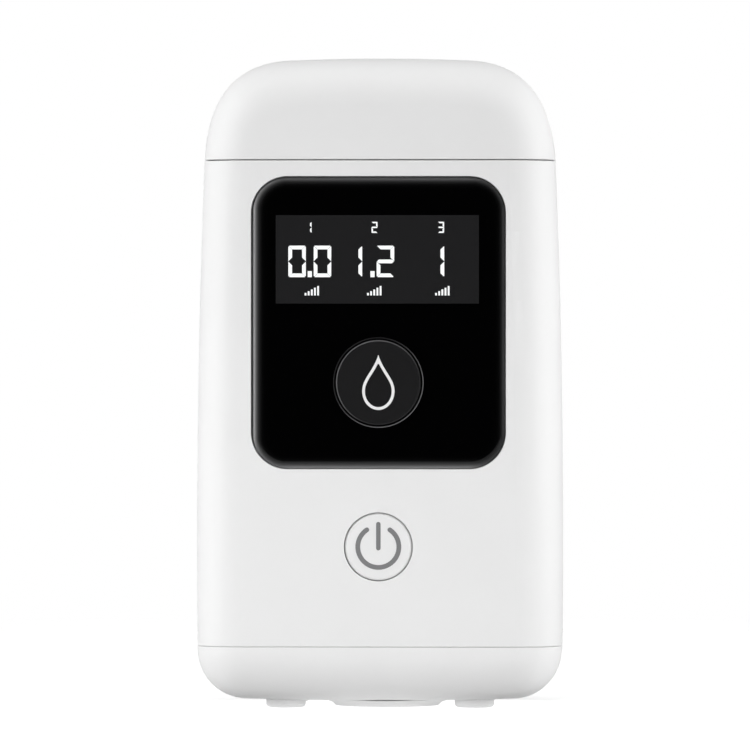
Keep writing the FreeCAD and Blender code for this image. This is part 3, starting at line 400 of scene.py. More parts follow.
def rim_highlight(tree, place):
    """A painted highlight where the clear edge of the sheet gathers light: most at the rim, more left and
    below.

    The panel is a straight-sided core with a band round it. The way from the nearest point of the
    core tells how near a place is to the rim, and to which side it lies."""
    middle = Vector(((panel_low.x + panel_high.x) / 2 + RIM_SHIFT[0], 0,
                     (panel_low.z + panel_high.z) / 2 + RIM_SHIFT[1]))
    core = (panel_high - panel_low) / 2 - Vector((RIM_CORNER, 0, RIM_CORNER))
    core.y = 1.0                        # far deeper than the sheet, so that depth plays no part
    from_middle = vector_node(tree, "SUBTRACT", place, middle).outputs[0]
    nearest = vector_node(tree, "MAXIMUM", from_middle, -core).outputs[0]
    nearest = vector_node(tree, "MINIMUM", nearest, core).outputs[0]
    outward = vector_node(tree, "SUBTRACT", from_middle, nearest).outputs[0]
    away = vector_node(tree, "LENGTH", outward, None).outputs["Value"]
    inside = math_node(tree, "SUBTRACT", RIM_CORNER - RIM_INSET, away)
    fading = math_node(tree, "EXPONENT", math_node(tree, "MULTIPLY", inside, -1 / RIM_DEEP))
    at_rim = math_node(tree, "LESS_THAN", inside, 0.0)
    facing = vector_node(tree, "NORMALIZE", outward, None).outputs[0]
    side = vector_node(tree, "DOT_PRODUCT", facing, RIM_TOWARD).outputs["Value"]
    share = remap(tree, side, *RIM_SHARES, -1.0, 1.0)
    edge = math_node(tree, "MULTIPLY", at_rim, RIM_OUTSIDE)
    inner = math_node(tree, "MULTIPLY", math_node(tree, "MINIMUM", fading, 1.0), share)
    covered = math_node(tree, "MULTIPLY", inner, math_node(tree, "SUBTRACT", 1.0, at_rim))
    return math_node(tree, "ADD", edge, covered, clamp=True)


def ring_highlight(tree, place, band, dim, bright, toward):
    """A painted highlight: a thin ring round the test button, brighter on the side it is lit "toward"."""
    from_middle = vector_node(tree, "SUBTRACT", place, test_middle).outputs[0]
    flat = vector_node(tree, "MULTIPLY", from_middle, (1, 0, 1)).outputs[0]
    away = vector_node(tree, "LENGTH", flat, None).outputs["Value"]
    on_ring = inside_band(tree, away, (band[0] + band[1]) / 2, (band[1] - band[0]) / 2)
    facing = vector_node(tree, "NORMALIZE", flat, None).outputs[0]
    side = vector_node(tree, "DOT_PRODUCT", facing, toward).outputs["Value"]
    return math_node(tree, "MULTIPLY", on_ring, remap(tree, side, dim, bright, *RING_SPAN, smooth=True))


print("rim", round(RIM_DEEP / MM, 2), "mm deep, rings at",
      [round(ring["band"][0] / MM, 2) for ring in (BUTTON_RING, HOLE_RING)], "mm")

# %% [markdown]
# Polished plastic mirrors sharply, yet the panel in the photograph stays black almost everywhere. Its
# mirror is therefore set weaker than plain plastic has it, and its gloss wanders a little from place to
# place, as a real sheet's does. A paint function lays the window and the painted highlights of the lip
# and the rim over the black, so that the same short builder also serves the test button and the display
# glass.

# %% Black gloss panel
GLOSS_IOR = 1.49
GLOSS_MIRROR = 0.25
GLOSS_ROUGH = (0.045, 0.085)
GLOSS_PATCH = 9 * MM


def paint_panel(tree, place, colour):
    """Black with the grey display window, and painted highlights on the lip of the button hole and the rim.
    """
    split = add_node(tree, "ShaderNodeSeparateXYZ")
    tree.links.new(place, split.inputs[0])
    across = inside_band(tree, split.outputs["X"], display_middle.x, WINDOW_WIDE / 2)
    upright = inside_band(tree, split.outputs["Z"], display_middle.z, WINDOW_HIGH / 2)
    painted = mix_colour(tree, math_node(tree, "MULTIPLY", across, upright), colour, WINDOW_GREY)
    # The lip of the button hole gets a painted highlight ring.
    painted = mix_colour(tree, ring_highlight(tree, place, **HOLE_RING), painted, RING_HIGHLIGHT)
    # The rim of the sheet gets a painted highlight, strongest left and below.
    return mix_colour(tree, rim_highlight(tree, place), painted, RIM_HIGHLIGHT)


def paint_button(tree, place, colour):
    # The edge of the button gets a painted highlight ring.
    return mix_colour(tree, ring_highlight(tree, place, **BUTTON_RING), colour, RING_HIGHLIGHT)


def gloss_black(name, colour, paint=None):
    """Polished black plastic, slightly uneven in its gloss; a paint function adds colours by place."""
    material, tree, shader = new_material(name)
    place = object_place(tree)
    shader.inputs["Base Color"].default_value = (*colour, 1)
    shader.inputs["IOR"].default_value = GLOSS_IOR
    shader.inputs["Specular IOR Level"].default_value = GLOSS_MIRROR
    tree.links.new(remap(tree, noise(tree, place, GLOSS_PATCH), *GLOSS_ROUGH), shader.inputs["Roughness"])
    if paint:
        tree.links.new(paint(tree, place, colour), shader.inputs["Base Color"])
    return material


panel_black = gloss_black("panel_black", PANEL_BLACK, paint_panel)
button_black = gloss_black("button_black", BUTTON_GREY, paint_button)
print("materials", panel_black.name, button_black.name)

# %% [markdown]
# Few of the inner pieces show, but the deck, the soft plug and the sample well do when the cap is
# lifted, so every kind of material gets its own small builder: silicone is matte with a coarser grain,
# metal has fine working marks, the boards are green lacquer over copper tracks, and quartz is clear
# with a faint haze. Plain moulded pieces share the builder of the white case.

# %% Other finishes
RUBBER_GRAIN = 0.5 * MM
RUBBER_DEPTH = 0.006 * MM
RUBBER_SHINE = 0.3
STREAK_SIZE = 0.25 * MM
STREAK_DEPTH = 0.003 * MM
STREAK_STRETCH = (1.0, 1.0, 0.12)
STREAK_DARK = 0.88
STREAK_SPREAD = 0.07
WAVE_LENGTH = math.pi / 10              # of the bands of a wave texture at a scale of 1
TRACK_PITCH = 4.8 * math.pi * MM
TRACK_WAVER = 0.6
TRACK_EDGE = (0.45, 0.55)
TRACK_DEPTH = 0.02 * MM
LACQUER = (0.012, 0.10, 0.045)
LACQUER_ON_TRACK = (0.025, 0.17, 0.075)
LACQUER_ROUGH = 0.35
GLASS_PATCH = 6 * MM
GLASS_ROUGH = (0.01, 0.03)


def soft_rubber(name, colour, roughness=0.72):
    material = moulded_plastic(name, colour, roughness, grain=RUBBER_GRAIN, depth=RUBBER_DEPTH, spread=0.08)
    material.node_tree.nodes["Principled BSDF"].inputs["Specular IOR Level"].default_value = RUBBER_SHINE
    return material


def worked_metal(name, colour, roughness):
    """Metal with fine working marks across it."""
    material, tree, shader = new_material(name)
    place = object_place(tree)
    shader.inputs["Metallic"].default_value = 1.0
    stretch = add_node(tree, "ShaderNodeMapping")
    stretch.inputs["Scale"].default_value = STREAK_STRETCH
    tree.links.new(place, stretch.inputs["Vector"])
    marks = noise(tree, stretch.outputs[0], STREAK_SIZE, detail=3.0)
    dull = tuple(channel * STREAK_DARK for channel in colour)
    tree.links.new(mix_colour(tree, remap(tree, marks, 0, 1), dull, colour), shader.inputs["Base Color"])
    rough = remap(tree, marks, roughness - STREAK_SPREAD, roughness + STREAK_SPREAD)
    tree.links.new(rough, shader.inputs["Roughness"])
    add_bump(tree, shader, marks, STREAK_DEPTH)
    return material


def lacquered_board(name):
    """Green solder lacquer over copper tracks that run up the board in parallel."""
    material, tree, shader = new_material(name)
    place = object_place(tree)
    tracks = add_node(tree, "ShaderNodeTexWave", wave_type="BANDS", bands_direction="X")
    tracks.inputs["Scale"].default_value = WAVE_LENGTH / TRACK_PITCH
    tracks.inputs["Distortion"].default_value = TRACK_WAVER
    tree.links.new(place, tracks.inputs["Vector"])
    mask = remap(tree, tracks.outputs["Fac"], 0, 1, *TRACK_EDGE)
    lacquer = mix_colour(tree, mask, LACQUER, LACQUER_ON_TRACK)
    tree.links.new(lacquer, shader.inputs["Base Color"])
    shader.inputs["Roughness"].default_value = LACQUER_ROUGH
    add_bump(tree, shader, mask, TRACK_DEPTH)
    return material


def clear_glass(name, colour, ior):
    material, tree, shader = new_material(name)
    shader.inputs["Base Color"].default_value = (*colour, 1)
    shader.inputs["Transmission Weight"].default_value = 1.0
    shader.inputs["IOR"].default_value = ior
    faint = noise(tree, object_place(tree), GLASS_PATCH)
    tree.links.new(remap(tree, faint, *GLASS_ROUGH), shader.inputs["Roughness"])
    return material


print("finish builders ready")

# %% [markdown]
# Each solid of the model names its finish in the record, so one table of finishes dresses them all.
# The colours are linear values. Most are moulded plastics that differ in colour and roughness only.

# %% Dress the solids
finishes = {
    "white_plastic": white_plastic,
    "black_lens": panel_black,
    "button_black": button_black,
    "grey_silicone": soft_rubber("grey_silicone", (0.36, 0.37, 0.39)),
    "foot_rubber": soft_rubber("foot_rubber", (0.88, 0.88, 0.88)),
    "steel": worked_metal("steel", (0.62, 0.62, 0.63), 0.3),
    "tape": moulded_plastic("tape", (0.03, 0.03, 0.03), 0.6),
    "display_glass": gloss_black("display_glass", WINDOW_GREY),
    "light_guide": moulded_plastic("light_guide", (0.85, 0.85, 0.83), 0.3),
    "inner_plastic": moulded_plastic("inner_plastic", (0.045, 0.045, 0.05), 0.5),
    "ribbon": moulded_plastic("ribbon", (0.55, 0.26, 0.05), 0.3),
    "wire": soft_rubber("wire", (0.42, 0.03, 0.025), 0.45),
    "switch_plastic": moulded_plastic("switch_plastic", (0.03, 0.03, 0.03), 0.45),
    "switch_metal": worked_metal("switch_metal", (0.66, 0.66, 0.66), 0.35),
    "circuit_board": lacquered_board("circuit_board"),
    "chip_plastic": moulded_plastic("chip_plastic", (0.02, 0.02, 0.022), 0.5),
    "battery_wrap": moulded_plastic("battery_wrap", (0.04, 0.12, 0.32), 0.3),
    "foam": soft_rubber("foam", (0.05, 0.05, 0.05), 0.85),
    "socket_metal": worked_metal("socket_metal", (0.58, 0.58, 0.6), 0.25),
    "cell_plastic": moulded_plastic("cell_plastic", (0.018, 0.018, 0.02), 0.5),
    "quartz": clear_glass("quartz", (0.97, 0.985, 1.0), 1.46),
    "can_metal": worked_metal("can_metal", (0.72, 0.66, 0.5), 0.25),
    "probe_metal": worked_metal("probe_metal", (0.7, 0.7, 0.72), 0.16),
}
slot_of = {entry["node"]: entry["material_slot"] for entry in frame["record"]["subparts"]}
for name, node in nodes.items():
    node.data.materials.clear()
    node.data.materials.append(finishes[slot_of[name]])
print("dressed", len(nodes), "nodes in", len(finishes), "finishes")

# %% [markdown]
# The figures on the display are made of lit bars, up to seven to a figure. They could be modelled one
# by one, but one bar repeats, so Geometry Nodes make it once and set it on points: each point of a
# small mesh is one lit bar, and it carries how far the bar is turned, how long it is and how its two
# ends are shaped. The helpers below are shared with the stairs of small blocks further down.

# %% Tree helpers
WELD = 0.001 * MM


def number_tree(name, inputs):
    """A geometry tree with named number inputs, given as a dictionary of their first values."""
    tree = bpy.data.node_groups.new(name, "GeometryNodeTree")
    tree.interface.new_socket("Geometry", in_out="INPUT", socket_type="NodeSocketGeometry")
    for label, value in inputs.items():
        socket = tree.interface.new_socket(label, in_out="INPUT", socket_type="NodeSocketFloat")
        socket.default_value = value
    tree.interface.new_socket("Geometry", in_out="OUTPUT", socket_type="NodeSocketGeometry")
    return tree, tree.nodes.new("NodeGroupInput"), tree.nodes.new("NodeGroupOutput")


def read_attribute(tree, name):
    node = add_node(tree, "GeometryNodeInputNamedAttribute", data_type="FLOAT")
    node.inputs["Name"].default_value = name
    return node.outputs["Attribute"]


def mix_number(tree, factor, first, second):
    node = add_node(tree, "ShaderNodeMix", data_type="FLOAT")
    for index, value in ((0, factor), (2, first), (3, second)):
        tree.links.new(value, node.inputs[index])
    return node.outputs[0]


def combine(tree, x=0.0, y=0.0, z=0.0):
    node = add_node(tree, "ShaderNodeCombineXYZ")
    for socket, value in zip(node.inputs, (x, y, z)):
        if isinstance(value, bpy.types.NodeSocket):
            tree.links.new(value, socket)
        else:
            socket.default_value = value
    return node.outputs[0]


def close_flat(tree, flat, thickness):
    """Thicken a flat mesh upwards, close its underside and weld the seam."""
    raised = add_node(tree, "GeometryNodeExtrudeMesh", mode="FACES")
    raised.inputs["Individual"].default_value = False
    tree.links.new(flat, raised.inputs["Mesh"])
    tree.links.new(thickness, raised.inputs["Offset Scale"])
    under = add_node(tree, "GeometryNodeFlipFaces")
    tree.links.new(flat, under.inputs["Mesh"])
    both = add_node(tree, "GeometryNodeJoinGeometry")
    for part in (raised.outputs["Mesh"], under.outputs["Mesh"]):
        tree.links.new(part, both.inputs[0])
    welded = add_node(tree, "GeometryNodeMergeByDistance")
    welded.inputs["Distance"].default_value = WELD
    tree.links.new(both.outputs[0], welded.inputs[0])
    return welded.outputs[0]


def stand_up(tree, geometry, face_depth):
    """Turn flat work so that it stands on the front of the panel and faces the user."""
    place = add_node(tree, "GeometryNodeTransform")
    place.inputs["Rotation"].default_value = (math.pi / 2, 0, 0)
    tree.links.new(combine(tree, y=face_depth), place.inputs["Translation"])
    tree.links.new(geometry, place.inputs["Geometry"])
    return place.outputs[0]


def end_tree(tree, geometry, leave, material):
    """Realize Instances and Set Material, as every tree here ends."""
    realize = add_node(tree, "GeometryNodeRealizeInstances")
    paint = add_node(tree, "GeometryNodeSetMaterial")
    paint.inputs["Material"].default_value = material
    tree.links.new(geometry, realize.inputs[0])
    tree.links.new(realize.outputs[0], paint.inputs["Geometry"])
    tree.links.new(paint.outputs[0], leave.inputs[0])


print("tree helpers ready")

# %% [markdown]
# A tree works on an object through a modifier. The result is taken off as a plain mesh of its own,
# like the solids of the model, and the object that carried the modifier is removed.

# %% From a tree to a mesh
def grow(name, tree, mesh, values):
    """Run a tree on a mesh with the given inputs and keep the result as a plain mesh object."""
    source = bpy.data.objects.new(name + "_source", mesh)
    bpy.context.scene.collection.objects.link(source)
    modifier = source.modifiers.new(name, "NODES")
    modifier.node_group = tree
    for item in tree.interface.items_tree:
        if item.item_type == "SOCKET" and item.in_out == "INPUT" and item.name in values:
            modifier[item.identifier] = values[item.name]
    graph = bpy.context.evaluated_depsgraph_get()
    made = bpy.data.meshes.new_from_object(source.evaluated_get(graph))
    made.name = name
    bpy.data.objects.remove(source)
    piece = bpy.data.objects.new(name, made)
    bpy.context.scene.collection.objects.link(piece)
    return piece


def point_mesh(name, rows, labels):
    """A mesh of loose points; each row is (x, y) and then one number for each label."""
    mesh = bpy.data.meshes.new(name)
    mesh.from_pydata([(row[0], row[1], 0) for row in rows], [], [])
    for column, label in enumerate(labels):
        layer = mesh.attributes.new(label, "FLOAT", "POINT")
        for item, row in zip(layer.data, rows):
            item.value = row[2 + column]
    return mesh


print("mesh helpers ready")

# %% [markdown]
# The figures are lit from within, so their finish adds a weak light of its own to a white that the
# studio lights too. The drop and the power mark are only printed, one white and one grey.

# %% Finishes of the marks
FIGURE_LIGHT = 0.22
display_light = moulded_plastic("display_figures", (0.86, 0.88, 0.88), 0.4)
figure_shader = display_light.node_tree.nodes["Principled BSDF"]
figure_shader.inputs["Emission Color"].default_value = (1, 1, 1, 1)
figure_shader.inputs["Emission Strength"].default_value = FIGURE_LIGHT
white_print = moulded_plastic("white_mark", (0.84, 0.84, 0.84), 0.5)
grey_print = moulded_plastic("grey_mark", (0.21, 0.21, 0.215), 0.5)
print("marks", [material.name for material in (display_light, white_print, grey_print)])

# %% [markdown]
# A bar is a flat grid of two by three points. It can end in three ways: in a tip, where it meets bars
# on both sides, in a slant that leaves its outer side long, where it meets one bar, or in such a slant
# with the outer corner cut off, at a corner of the figure. Each point knows its end and its place
# across the bar, so one formula draws all three. The bars then get their thickness and are stood up on
# the panel.

# %% Lit bars
MARK_THICK = 0.03 * MM
FIGURE_STROKE = 0.74 * MM
CORNER_CUT = 0.3
TIP, SLANT, CORNER = 0, 1, 2
panel_face = panel_low.y


def marked_bar(tree, stroke):
    """A flat bar of two by three points that know their "end" (-1 or 1) and place "across"."""
    grid = add_node(tree, "GeometryNodeMeshGrid")
    grid.inputs["Vertices X"].default_value = 2
    grid.inputs["Vertices Y"].default_value = 3
    grid.inputs["Size X"].default_value = 1.0
    tree.links.new(stroke, grid.inputs["Size Y"])
    corner = add_node(tree, "ShaderNodeSeparateXYZ")
    tree.links.new(add_node(tree, "GeometryNodeInputPosition").outputs[0], corner.inputs[0])
    marked = grid.outputs["Mesh"]
    ends = math_node(tree, "SIGN", corner.outputs["X"])
    for label, value in (("end", ends), ("across", corner.outputs["Y"])):
        store = add_node(tree, "GeometryNodeStoreNamedAttribute", data_type="FLOAT", domain="POINT")
        store.inputs["Name"].default_value = label
        tree.links.new(marked, store.inputs["Geometry"])
        tree.links.new(value, store.inputs["Value"])
        marked = store.outputs[0]
    return marked


def end_offset(tree, stroke, turn):
    """How far each point of a bar moves to shape the end that its bar has there."""
    across, end = read_attribute(tree, "across"), read_attribute(tree, "end")
    half, quarter, cut = [math_node(tree, "MULTIPLY", stroke, share) for share in (0.5, 0.25, CORNER_CUT)]
    at_finish = math_node(tree, "GREATER_THAN", end, 0)
    kind = mix_number(tree, at_finish, read_attribute(tree, "start"), read_attribute(tree, "finish"))
    cut = math_node(tree, "MULTIPLY", cut, math_node(tree, "GREATER_THAN", kind, CORNER - 0.5))
    tip = math_node(tree, "ABSOLUTE", across)
    in_middle = math_node(tree, "LESS_THAN", tip, quarter)
    cut_high = math_node(tree, "SUBTRACT", half, math_node(tree, "MULTIPLY", cut, 0.5))
    has_cut = math_node(tree, "GREATER_THAN", cut, 0)
    lift = math_node(tree, "MULTIPLY", math_node(tree, "MULTIPLY", in_middle, has_cut), cut_high)
    on_outside = math_node(tree, "GREATER_THAN", across, quarter)
    slant = math_node(tree, "SUBTRACT", math_node(tree, "SUBTRACT", half, across), lift)
    slant = math_node(tree, "ADD", slant, math_node(tree, "MULTIPLY", on_outside, cut))
    draw_in = mix_number(tree, math_node(tree, "GREATER_THAN", kind, SLANT - 0.5), tip, slant)
    inwards = math_node(tree, "MULTIPLY", draw_in, math_node(tree, "MULTIPLY", end, -1.0))
    shift = add_node(tree, "ShaderNodeVectorRotate", rotation_type="Z_AXIS")
    tree.links.new(combine(tree, x=inwards, y=lift), shift.inputs["Vector"])
    tree.links.new(turn, shift.inputs["Angle"])
    return shift.outputs[0]


def lit_bar_tree(material):
    """A bar on every point, turned by its number "turn" and as long as "long" says.

    The numbers "start" and "finish" say how its two ends are shaped."""
    tree, entry, leave = number_tree("lit_bars", {"Stroke": FIGURE_STROKE, "Thickness": MARK_THICK,
                                                  "Face depth": panel_face})
    stroke = entry.outputs["Stroke"]
    bars = add_node(tree, "GeometryNodeInstanceOnPoints")
    tree.links.new(entry.outputs["Geometry"], bars.inputs["Points"])
    tree.links.new(marked_bar(tree, stroke), bars.inputs["Instance"])
    turn = read_attribute(tree, "turn")
    tree.links.new(combine(tree, z=turn), bars.inputs["Rotation"])
    tree.links.new(combine(tree, x=read_attribute(tree, "long"), y=1.0, z=1.0), bars.inputs["Scale"])
    real = add_node(tree, "GeometryNodeRealizeInstances")
    tree.links.new(bars.outputs[0], real.inputs[0])
    shaped = add_node(tree, "GeometryNodeSetPosition")
    tree.links.new(real.outputs[0], shaped.inputs["Geometry"])
    tree.links.new(end_offset(tree, stroke, turn), shaped.inputs["Offset"])
    closed = close_flat(tree, shaped.outputs[0], entry.outputs["Thickness"])
    end_tree(tree, stand_up(tree, closed, entry.outputs["Face depth"]), leave, material)
    return tree


bars = lit_bar_tree(display_light)
print("bar tree with", len(bars.nodes), "nodes")

# %% [markdown]
# Three readings stand side by side. Each figure is written as the set of its lit bars, by the letters
# that display makers use: a is the top bar, then clockwise b to f, and g is the middle one. Above each
# reading stands a small plain channel number, in place of the words of the photograph.

# %% Display figures
FIGURE_HIGH = 6.2 * MM
FIGURE_WIDE = 3.45 * MM
FIGURE_MIDDLE = display_middle.z - 0.4 * MM
SMALL_HIGH = 2.2 * MM
SMALL_WIDE = 1.2 * MM
SMALL_STROKE = 0.3 * MM
SMALL_MIDDLE = display_middle.z + 6.3 * MM
BAR_GAP = 0.04
FIGURES = {"0": "abcdef", "1": "bc", "2": "abged", "3": "abgcd"}
BAR_LABELS = ("turn", "long", "start", "finish")
# each figure with its middle, in millimetres from the middle of the case
READINGS = (("0", -16.0), ("0", -11.0), ("1", -3.55), ("2", 1.4), ("1", 12.6))
CHANNELS = (("1", -13.3), ("2", -0.75), ("3", 12.35))


def figure_bars(figure, x, middle, wide, high, stroke):
    """The lit bars of one figure, as (x, z, turn, length, start, finish); a 1 keeps its bars at x."""
    half = (wide - stroke) / 2
    rise = (high - stroke) / 2
    gap = BAR_GAP * stroke * 2
    flat, tall, quarter = wide - gap, high / 2 - gap, math.pi / 2
    left = x - half
    right = x if figure == "1" else x + half
    places = {"a": (x, middle + rise, 0, flat, CORNER, CORNER),
              "b": (right, middle + high / 4, -quarter, tall, CORNER, SLANT),
              "c": (right, middle - high / 4, -quarter, tall, SLANT, CORNER),
              "d": (x, middle - rise, 2 * quarter, flat, CORNER, CORNER),
              "e": (left, middle - high / 4, quarter, tall, CORNER, SLANT),
              "f": (left, middle + high / 4, quarter, tall, SLANT, CORNER),
              "g": (x, middle, 0, flat - gap, TIP, TIP)}
    return [places[letter] for letter in FIGURES[figure]]


def figure_row(name, figures, middle, wide, high, stroke):
    """A row of figures at one height, each given with its place across in millimetres."""
    rows = []
    for figure, x in figures:
        rows += figure_bars(figure, x * MM, middle, wide, high, stroke)
    values = {"Stroke": stroke, "Thickness": MARK_THICK, "Face depth": panel_face}
    return grow(name, bars, point_mesh(name + "_points", rows, BAR_LABELS), values)


display_figures = figure_row("display_figures", READINGS, FIGURE_MIDDLE,
                             FIGURE_WIDE, FIGURE_HIGH, FIGURE_STROKE)
channel_numbers = figure_row("channel_numbers", CHANNELS, SMALL_MIDDLE,
                             SMALL_WIDE, SMALL_HIGH, SMALL_STROKE)
for piece in (display_figures, channel_numbers):
    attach(piece, "case")
print("figures", len(display_figures.data.polygons), "faces, channels", len(channel_numbers.data.polygons))

# %% [markdown]
# Below each reading stands a row of small bars that rise like stairs, again in place of words. They
# and the decimal points are blocks of one width. The second tree sets a row of them on every point it
# is given: a line of points a pitch apart carries a flat square that grows taller by its number in the
# row. With one block to a row it also makes a decimal point.

# %% Level bars and points
STAIR_COUNT = 5
STAIR_PITCH = 0.62 * MM
STAIR_WIDE = 0.36 * MM
STAIR_LOW = 0.5 * MM
STAIR_RISE = 0.34 * MM
STAIR_FOOT = display_middle.z - 7.1 * MM
STAIR_MIDDLES = (-13.1, -0.8, 12.6)     # in millimetres, as are those of the points
POINT_WIDE = 0.82 * MM
POINT_HIGH = 1.2 * MM
POINT_LOW = display_middle.z - 3.5 * MM
POINT_MIDDLES = (-13.5, -1.15)


def stair_tree(material):
    """A row of upright blocks on every point, each taller than the one before."""
    tree, entry, leave = number_tree("stairs", {
        "Count": STAIR_COUNT, "Pitch": STAIR_PITCH, "Width": STAIR_WIDE, "Lowest": STAIR_LOW,
        "Rise": STAIR_RISE, "Thickness": MARK_THICK, "Face depth": panel_face})
    line = add_node(tree, "GeometryNodeMeshLine")
    tree.links.new(entry.outputs["Count"], line.inputs["Count"])
    tree.links.new(combine(tree, x=entry.outputs["Pitch"]), line.inputs["Offset"])
    square = add_node(tree, "GeometryNodeMeshGrid")
    square.inputs["Vertices X"].default_value = 2
    square.inputs["Vertices Y"].default_value = 2
    square.inputs["Size X"].default_value = 1.0
    square.inputs["Size Y"].default_value = 1.0
    foot = add_node(tree, "GeometryNodeTransform")
    foot.inputs["Translation"].default_value = (0, 0.5, 0)     # it stands on the middle of its lower edge
    tree.links.new(square.outputs["Mesh"], foot.inputs["Geometry"])
    step = add_node(tree, "GeometryNodeInputIndex")
    high = math_node(tree, "MULTIPLY_ADD", step.outputs[0], entry.outputs["Rise"])
    tree.links.new(entry.outputs["Lowest"], high.node.inputs[2])
    row = add_node(tree, "GeometryNodeInstanceOnPoints")
    tree.links.new(line.outputs[0], row.inputs["Points"])
    tree.links.new(foot.outputs[0], row.inputs["Instance"])
    tree.links.new(combine(tree, x=entry.outputs["Width"], y=high, z=1.0), row.inputs["Scale"])
    every = add_node(tree, "GeometryNodeInstanceOnPoints")
    tree.links.new(entry.outputs["Geometry"], every.inputs["Points"])
    tree.links.new(row.outputs[0], every.inputs["Instance"])
    real = add_node(tree, "GeometryNodeRealizeInstances")
    tree.links.new(every.outputs[0], real.inputs[0])
    closed = close_flat(tree, real.outputs[0], entry.outputs["Thickness"])
    end_tree(tree, stand_up(tree, closed, entry.outputs["Face depth"]), leave, material)
    return tree


stairs = stair_tree(display_light)
stair_left = (STAIR_COUNT - 1) * STAIR_PITCH / 2
stair_feet = point_mesh("stair_points", [(x * MM - stair_left, STAIR_FOOT) for x in STAIR_MIDDLES], ())
point_feet = point_mesh("decimal_places", [(x * MM, POINT_LOW) for x in POINT_MIDDLES], ())
level_bars = grow("level_bars", stairs, stair_feet, {"Count": STAIR_COUNT})
decimal_points = grow("decimal_points", stairs, point_feet,
                      {"Count": 1, "Width": POINT_WIDE, "Lowest": POINT_HIGH})
for piece in (level_bars, decimal_points):
    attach(piece, "case")
print("stairs", len(level_bars.data.polygons), "faces, points", len(decimal_points.data.polygons))

# %% [markdown]
# The drop on the test button and the mark on the power button are thin printed lines. They could be
# painted by a material, but a line of even width round a curved outline is simpler as a shape. A flat
# curve fills the space between an outer and an inner outline by itself, so each mark is given as closed
# outlines, is raised by a hair, made a mesh and stood on its button.

# %% Printed marks
def weld_and_face_out(mesh):
    """Close the seams of a mesh and turn all its faces outwards."""
    work = bmesh.new()
    work.from_mesh(mesh)
    bmesh.ops.remove_doubles(work, verts=work.verts, dist=WELD)
    bmesh.ops.recalc_face_normals(work, faces=work.faces)
    work.to_mesh(mesh)
    work.free()


def flat_mark(name, outlines, middle, face, material):
    """A thin mark that fills the space between closed outlines, stood on a face at a height."""
    data = bpy.data.curves.new(name, "CURVE")
    data.dimensions = "2D"
    data.fill_mode = "BOTH"
    data.extrude = MARK_THICK / 2
    for outline in outlines:
        spline = data.splines.new("POLY")
        spline.points.add(len(outline) - 1)
        for point, (x, z) in zip(spline.points, outline):
            point.co = (x, z, 0, 1)
        spline.use_cyclic_u = True
    source = bpy.data.objects.new(name + "_source", data)
    bpy.context.scene.collection.objects.link(source)
    mesh = bpy.data.meshes.new_from_object(source.evaluated_get(bpy.context.evaluated_depsgraph_get()))
    bpy.data.objects.remove(source)
    stand = Matrix.Translation((0, face - MARK_THICK / 2, middle)) @ Matrix.Rotation(math.pi / 2, 4, "X")
    mesh.transform(stand)
    mesh.name = name
    mesh.materials.clear()
    mesh.materials.append(material)
    piece = bpy.data.objects.new(name, mesh)
    bpy.context.scene.collection.objects.link(piece)
    weld_and_face_out(mesh)
    return piece


print("mark maker ready")

# %% [markdown]
# The drop is half an ellipse below its widest place. Above it a cubic curve on either side leads to the
# tip and leaves it at a narrow angle. The inner outline is the outer one moved in by the stroke; places
# that would cross over the middle near the tip are left out, so that the inner tip stays sharp.

# %% Drop mark
DROP_HALF = 3.19 * MM
DROP_TIP = 5.45 * MM
DROP_WIDEST = -1.71 * MM
DROP_FOOT = -5.39 * MM
DROP_TIP_ANGLE = math.radians(18)
DROP_TIP_PULL = 0.5
DROP_SIDE_PULL = 0.35
DROP_STROKE = 0.56 * MM
SIDE_STEPS = 24
FOOT_STEPS = 18


def drop_side():
    """The right side of the drop from its tip round to its foot."""
    high = DROP_TIP - DROP_WIDEST
    tip, widest = Vector((0, DROP_TIP)), Vector((DROP_HALF, DROP_WIDEST))
    first = tip + Vector((math.sin(DROP_TIP_ANGLE), -math.cos(DROP_TIP_ANGLE))) * high * DROP_TIP_PULL
    second = widest + Vector((0, high * DROP_SIDE_PULL))
    points = []
    for step in range(SIDE_STEPS):
        t = step / SIDE_STEPS
        points.append(tip * (1 - t) ** 3 + first * 3 * t * (1 - t) ** 2 + second * 3 * t * t * (1 - t)
                      + widest * t ** 3)
    for step in range(FOOT_STEPS + 1):
        turn = math.pi / 2 * step / FOOT_STEPS
        points.append(Vector((DROP_HALF * math.cos(turn),
                              DROP_WIDEST + (DROP_FOOT - DROP_WIDEST) * math.sin(turn))))
    return points


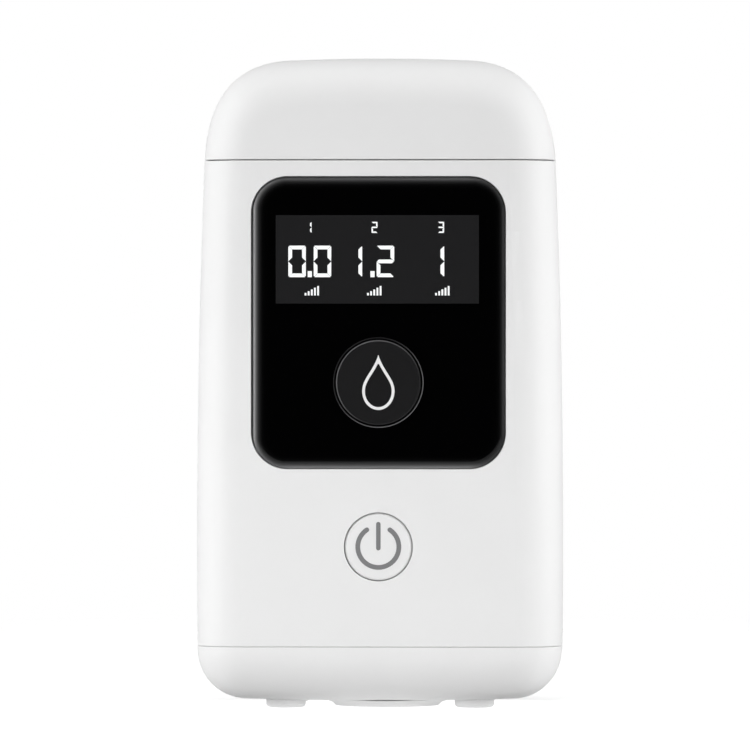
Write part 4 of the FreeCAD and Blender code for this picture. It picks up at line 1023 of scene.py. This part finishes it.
def drop_outlines():
    """The outer outline of the drop and, a stroke further in, the inner one."""
    side = drop_side()
    outer = side + [Vector((-point.x, point.y)) for point in reversed(side[1:-1])]
    inner = []
    for before, point, after in zip([outer[-1]] + outer[:-1], outer, outer[1:] + [outer[0]]):
        along = (after - before).normalized()
        moved = point + Vector((along.y, -along.x)) * DROP_STROKE
        if moved.x * point.x > 0 or point == side[-1]:
            inner.append(moved)
    return [outer, inner]


drop_mark = flat_mark("drop_mark", drop_outlines(), test_middle.z, test_low.y, white_print)
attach(drop_mark, "test_button")
print("drop", [round(v / MM, 2) for v in drop_mark.dimensions])

# %% [markdown]
# The mark on the power button is a ring that is open at the top, and an upright bar. Both are strokes
# with round ends, so an outline runs along one side of the stroke, round its end and back.

# %% Power mark
RING_STEPS = 72
RING_RADIUS = 4.045 * MM
RING_STROKE = 0.925 * MM
RING_GAP = math.radians(34)
BAR_WIDE = 0.87 * MM
BAR_TOP = 4.9 * MM
BAR_LOW = -0.69 * MM
END_STEPS = 12


def round_end(centre, start, radius):
    """Half a circle that closes the end of a line, from one side of it to the other."""
    return [centre + Vector((math.cos(start + math.pi * step / END_STEPS),
                             math.sin(start + math.pi * step / END_STEPS))) * radius
            for step in range(1, END_STEPS)]


def ring_outline():
    """A ring that is open at the top, with round ends."""
    first = math.pi / 2 + RING_GAP
    sweep = 2 * math.pi - 2 * RING_GAP
    turns = [first + sweep * step / RING_STEPS for step in range(RING_STEPS + 1)]
    around = [Vector((math.cos(turn), math.sin(turn))) for turn in turns]
    outer = [point * (RING_RADIUS + RING_STROKE / 2) for point in around]
    inner = [point * (RING_RADIUS - RING_STROKE / 2) for point in reversed(around)]
    last_end = round_end(around[-1] * RING_RADIUS, turns[-1], RING_STROKE / 2)
    first_end = round_end(around[0] * RING_RADIUS, turns[0] + math.pi, RING_STROKE / 2)
    return outer + last_end + inner + first_end


def bar_outline():
    """An upright bar with round ends."""
    half = BAR_WIDE / 2
    top, low = Vector((0, BAR_TOP - half)), Vector((0, BAR_LOW + half))
    side = Vector((half, 0))
    return ([top + side] + round_end(top, 0, half) + [top - side, low - side]
            + round_end(low, math.pi, half) + [low + side])


power_middle_z = (power_low.z + power_high.z) / 2
power_mark = flat_mark("power_mark", [ring_outline(), bar_outline()], power_middle_z,
                       power_low.y, grey_print)
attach(power_mark, "power_button")
print("power mark", [round(v / MM, 2) for v in power_mark.dimensions])
